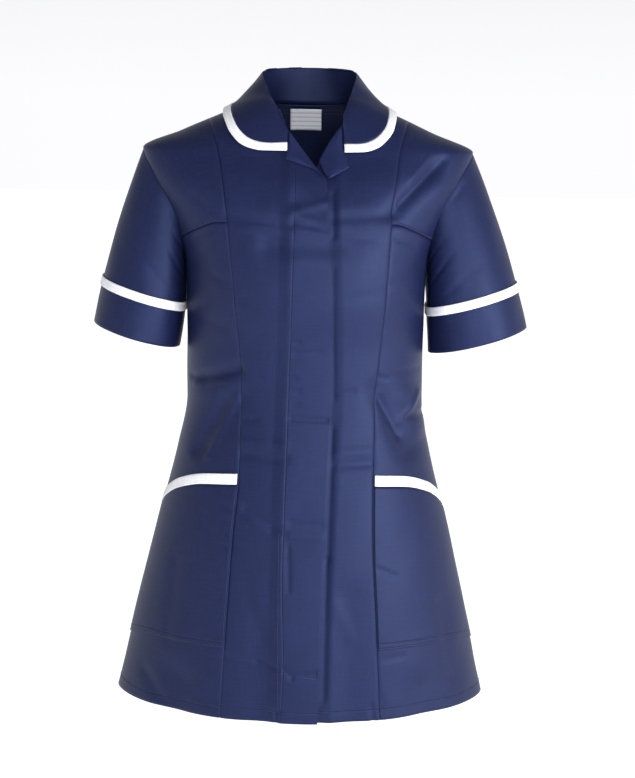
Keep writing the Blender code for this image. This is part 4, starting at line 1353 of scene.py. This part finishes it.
# %% Collar and its binding
def collar():
    """Folded collar and the binding that wraps its edge, both parted along one line."""
    points, fall_start = collar_grid()
    cleared = clear_of_body(points[:, fall_start:], COLLAR_LIFT)
    points = relaxed(np.concatenate([points[:, :fall_start], cleared], axis=1), RELAX_ROUNDS,
                     STAND_ROWS)
    fall = points[:, fall_start:]
    length = np.linalg.norm(fall[:, -1] - fall[:, 0], axis=1, keepdims=True)
    share = 1 - COLLAR_BINDING / length[:, 0]
    rows = np.linspace(0, 1, fall.shape[1])

    def fall_at(shares):
        """Rows of the fall, each at its own share of the way to the edge."""
        parts = [np.array([along(line, s, rows) for line, s in zip(fall, at)]) for at in shares]
        return np.stack(parts, axis=1)

    gap = SEAM_GAP / length[:, 0]
    navy_rows = [share * s - gap * s for s in np.linspace(0, 1, fall.shape[1])]
    leaf = np.concatenate([points[:, :fall_start], fall_at(navy_rows)], axis=1)
    normal = grid_normals(leaf)
    x, y, z = leaf[..., 0], leaf[..., 1], leaf[..., 2]
    wave = SLUB_DEPTH * np.sin(x / 15 + y / 21) * np.sin(y / 13 + z / 9)
    leaf = leaf + normal * wave[..., None]
    piece = cloth("collar", leaf, normal, COLLAR_WALL)
    dress(piece, NAVY, COLLAR_CUT)

    band = fall_at([share + (1 - share) * s for s in np.linspace(0, 1, 7)])
    normal = grid_normals(band)
    band = band + normal * crown(COLLAR_CROWN, 7)[None, :, None]
    piece = cloth("collar_binding", band, normal, COLLAR_BINDING_WALL)
    dress(piece, WHITE, COLLAR_BINDING_CUT)
    line = band[:, 0] * (1 - COLLAR_ROW_AT) + band[:, -1] * COLLAR_ROW_AT
    add_stitches("white", line + normal[:, 1] * COLLAR_CROWN, normal[:, 1])


collar()

# %% [markdown]
# ## Revers
#
# Where the fronts end above the zip their top corners fall open and show the inner face of the
# cloth. Each is a small triangle, a row of points from its roll to its free edge, that bows up
# between the two and throws a crisp shadow on the front below.

# %% Revers
REVER_BULGE = 1.6
REVER_BASE = {RIGHT: FLY_RISE, LEFT: 0.6}
REVERS = {
    RIGHT: np.array([
        # roll_x, roll_z, free_x, free_z
        (-20, -42, -22.2, -46),
        (-15, -49, -22.4, -55),
        (-8, -58, -26, -72),
        (4, -73.5, -5, -79),
        (13, -84, 7, -83),
        (21, -93, 18, -90.5),
    ]),
    LEFT: np.array([
        (37, -34, 40.6, -38),
        (32, -41, 40.8, -48),
        (25, -51, 42.2, -61),
        (13.5, -72, 50, -79),
        (19, -85, 36, -87),
        (25, -92.5, 27.5, -92),
    ]),
}
REVER_CUT = {RIGHT: (25, 79, 0.42), LEFT: (38, 76, 0.47)}


def rever(side, across=18, rows_between=8):
    """Turned-out top corner of one front, lying on it."""
    table = REVERS[side]
    rows = along(table, np.linspace(0, 1, (len(table) - 1) * rows_between + 1))
    share = np.linspace(0, 1, across)[:, None]
    x = rows[:, 0] + (rows[:, 2] - rows[:, 0]) * share
    z = rows[:, 1] + (rows[:, 3] - rows[:, 1]) * share
    lift = REVER_BASE[side] + LAYER_GAP + CLOTH_WALL + REVER_BULGE * np.sin(np.pi * share)
    points, normal = lifted(front_point(x * side, z), side, lift, fine=False)
    piece = cloth(f"rever_{side_name(side)}", points, normal)
    dress(piece, NAVY_INSIDE, REVER_CUT[side])


rever(RIGHT)
rever(LEFT)

# %% [markdown]
# ## Patch pockets
#
# The pockets are patches on the side fronts, bound in white along a mouth that drops towards the
# side seam. A patch is worked out on the same surface as the panel and moved out by one cloth, so
# it follows each fold below it. Two rows of sewing close its foot.

# %% Pockets
POCKET_TOP = np.array([(0, -447), (0.3, -452), (0.6, -464.5), (0.82, -480), (1, -496)])
POCKET_BOTTOM = np.array([(0, -663), (0.5, -665), (1, -680)])
POCKET_BINDING = 13
POCKET_INSET = 1.2
POCKET_OUTER_TURN = -2.0
BINDING_SWELL, BINDING_CROWN = 0.3, 0.3
BINDING_ROW_UP, BINDING_ROW_LIFT = 1.5, 0.2
POCKET_CUT, POCKET_BINDING_CUT = (186, 206, 0.82), (160, 14, 0.85)
POCKET_ROWS_UP = (2.2, 8.2)
POCKET_WALL = 1.2
POCKET_FADE = 0.14


def pocket_strip(side, share, top_z, bottom_z, count):
    """Grid on the side front: x from the princess seam to the side seam, z between two edges."""
    up = np.linspace(0, 1, count)
    z = bottom_z[:, None] + (top_z - bottom_z)[:, None] * up
    width, _, m, _ = level(z, -1)
    start = smooth(PRINCESS, PRINCESS_X[side], z) + POCKET_INSET
    start_turn = np.degrees(np.arccos((start / width) ** (m / 2)))
    return body(POCKET_OUTER_TURN * share[:, None] - start_turn * (1 - share[:, None]), z)


def pocket(side):
    """Patch pocket of one side and the binding of its mouth."""
    share = crowded(56)
    top = smooth(POCKET_TOP, 1, share)
    seam = top - POCKET_BINDING
    bottom = smooth(POCKET_BOTTOM, 1, share)
    name = side_name(side)
    lift = POCKET_WALL + LAYER_GAP * np.clip((1.02 - share) / POCKET_FADE, 0.1, 1)
    grid = pocket_strip(side, share, seam - SEAM_GAP, bottom, 70)
    foot = grid[..., 2] - bottom[:, None]
    lines = [foot - rise for rise in POCKET_ROWS_UP]
    piece = panel(f"pocket_{name}", grid, side, ("top",), lift[:, None], lines=lines)
    dress(piece, NAVY, POCKET_CUT)
    for rise in POCKET_ROWS_UP:
        line = pocket_strip(side, share, bottom + rise, bottom + rise, 1)[:, 0]
        add_stitches("navy", *lifted(line, side, lift + ON_CLOTH))

    mouth = pocket_strip(side, share, top, seam, 9)
    rise = lift[:, None] + BINDING_SWELL + crown(BINDING_CROWN, 9)
    points, normal = lifted(mouth, side, rise)
    piece = cloth(f"pocket_binding_{name}", points, normal, POCKET_WALL + BINDING_SWELL)
    dress(piece, WHITE, POCKET_BINDING_CUT)
    row = seam + BINDING_ROW_UP
    line = pocket_strip(side, share, row, row, 1)[:, 0]
    add_stitches("white", *lifted(line, side, lift + BINDING_SWELL + BINDING_ROW_LIFT))


pocket(RIGHT)
pocket(LEFT)

# %% [markdown]
# ## Zip band and neck label
#
# The fastening is concealed, so only a plain dark band lies between the two fronts. The label
# inside the back neck is bare: white damask with a few pale blue woven bands.

# %% Zip band
ZIP_HALF_WIDTH, ZIP_TOP_Z, ZIP_BOTTOM_Z, ZIP_SINK = 11, -128, -668, -0.1
ZIP_CUT = (22, 546, 1.0)


def zip_band():
    """Plain band of the concealed fastening, half way between the two fronts' edges."""
    z = np.linspace(ZIP_BOTTOM_Z, ZIP_TOP_Z, 110)
    middle = (smooth(FLY_EDGE, EDGE_X, z) + smooth(FLY_EDGE, UNDER_EDGE_X, z)) / 2
    x = middle + np.linspace(-1, 1, 7)[:, None] * ZIP_HALF_WIDTH
    points, normal = lifted(front_point(x, z), LEFT, ZIP_SINK)
    piece = cloth("front_zip", points, normal, TAPE_WALL)
    dress(piece, ZIP_NAVY, ZIP_CUT)


zip_band()

# %% Neck label
LABEL_X, LABEL_Z, LABEL_GAP = (-24, 15.5), (-38, -11), 1.5
LABEL_CUT, LABEL_CURL, LABEL_WALL = (40, 32, 1.0), 0.8, 0.5
LABEL_ROW_IN, LABEL_ROW_DOWN, LABEL_PITCH = 1, 1.5, 2.8
INNER_FACE = 1.2


def back_inside(x, z, off):
    """Point off mm inside the back's inner face, at a distance x from the middle."""
    width, _, m, _ = level(z, 1)
    turn = np.degrees(np.arccos(np.sign(x) * (np.abs(x) / width) ** (m / 2)))
    points, normal = lifted(body(turn, z), LEFT, -(INNER_FACE + off), fine=False)
    return points, -normal


def neck_label():
    """Plain label below the collar's seam, its lower corners lifting a little."""
    across, up = np.linspace(0, 1, 15)[:, None], np.linspace(0, 1, 11)[None]
    x = LABEL_X[0] + (LABEL_X[1] - LABEL_X[0]) * across
    z = LABEL_Z[0] + (LABEL_Z[1] - LABEL_Z[0]) * up
    curl = LABEL_CURL * (1 - up) ** 2 * np.abs(2 * across - 1) ** 3
    points, normal = back_inside(x + 0 * z, z + 0 * x, LABEL_GAP + TAPE_WALL)
    piece = cloth("neck_label", points + normal * curl[..., None], normal, LABEL_WALL)
    dress(piece, LABEL_WHITE, LABEL_CUT)
    x = np.linspace(LABEL_X[0] + LABEL_ROW_IN, LABEL_X[1] - LABEL_ROW_IN, 30)
    row = back_inside(x, np.full(30, LABEL_Z[1] - LABEL_ROW_DOWN),
                      LABEL_GAP + TAPE_WALL + ON_CLOTH)
    add_stitches("white", *row, LABEL_PITCH)


neck_label()

# %% [markdown]
# ## Topstitching
#
# Rows of navy lockstitch hold the hem, the fly, the bust seams and the back neck. They are placed
# on the same surface as the cloth, one thread's radius above it.

# %% Topstitching
FLY_FOOT = np.array([(-19.5, -684), (-17, -688.5), (-10, -691.5), (21, -695)])
FACING_ROW = np.array([(-738, -25), (-620, -26.5), (-514, -27)])
FROM_SEAM, FROM_UNDER_FLY = 1.0, 1.5
NECK_ROWS, NECK_ROW_HALF = (-13.5, -18.0), 42


def sew_on_front(side, x, z):
    """A navy row at x, z of the front, at the height of that side's cloth."""
    z = np.broadcast_to(z, x.shape)
    rise = fly_lift(np.stack([x * side, 0 * x, z], axis=-1), side)
    add_stitches("navy", *lifted(front_point(x, z), LEFT, rise + ON_CLOTH))


def sew_hem():
    """One row all round, level with the hem, in the parts that each panel covers."""
    z = HEM_Z + HEM_STITCH_UP
    edge = smooth(FLY_EDGE, EDGE_X, z)
    right_seam, left_seam = smooth(PRINCESS, 1, z), smooth(PRINCESS, 2, z)
    sew_on_front(RIGHT, np.linspace(edge - FROM_SEAM, -right_seam + FROM_SEAM, 200), z)
    sew_on_front(LEFT, np.linspace(edge + FROM_UNDER_FLY, left_seam - FROM_SEAM, 120), z)
    around = body(np.linspace(-90, 270, 3000), z)
    seam = np.where(around[:, 0] > 0, left_seam, right_seam)
    covered = (np.abs(around[:, 0]) > seam + FROM_SEAM) | (around[:, 1] > 0)
    first = -int(np.argmax(covered))
    line = np.roll(around, first, axis=0)[np.roll(covered, first)]
    add_stitches("navy", *lifted(line, LEFT, ON_CLOTH))


def sew_fly():
    """The row that holds the fly, the row of the facing beside it, and the fly's slanted foot."""
    z = np.linspace(FLY_STITCH[1, 0], FLY_STITCH[-1, 0], 300)
    sew_on_front(RIGHT, smooth(FLY_STITCH, 1, z), z)
    z = np.linspace(FACING_ROW[-1, 0], FACING_ROW[0, 0], 120)
    sew_on_front(RIGHT, smooth(FACING_ROW, 1, z[::-1])[::-1], z)
    sew_on_front(RIGHT, *evenly(FLY_FOOT, np.linspace(0, 1, 40)).T)


def sew_bust(side):
    """A row just above each bust seam."""
    line = bust_seam(np.linspace(0.02, 0.98, 80), side) + np.array([0, 0, BUST_STITCH_UP])
    add_stitches("navy", *lifted(settle(line), side, ON_CLOTH))


def sew_neck():
    """Two rows inside the back, below the collar's seam."""
    x = np.linspace(-NECK_ROW_HALF, NECK_ROW_HALF, 60)
    for z in NECK_ROWS:
        add_stitches("navy", *back_inside(x, np.full(60, z), ON_CLOTH))


sew_hem()
sew_fly()
sew_bust(RIGHT)
sew_bust(LEFT)
sew_neck()
sew("navy", "navy_topstitching", NAVY_THREAD)
sew("white", "white_topstitching", WHITE_THREAD)
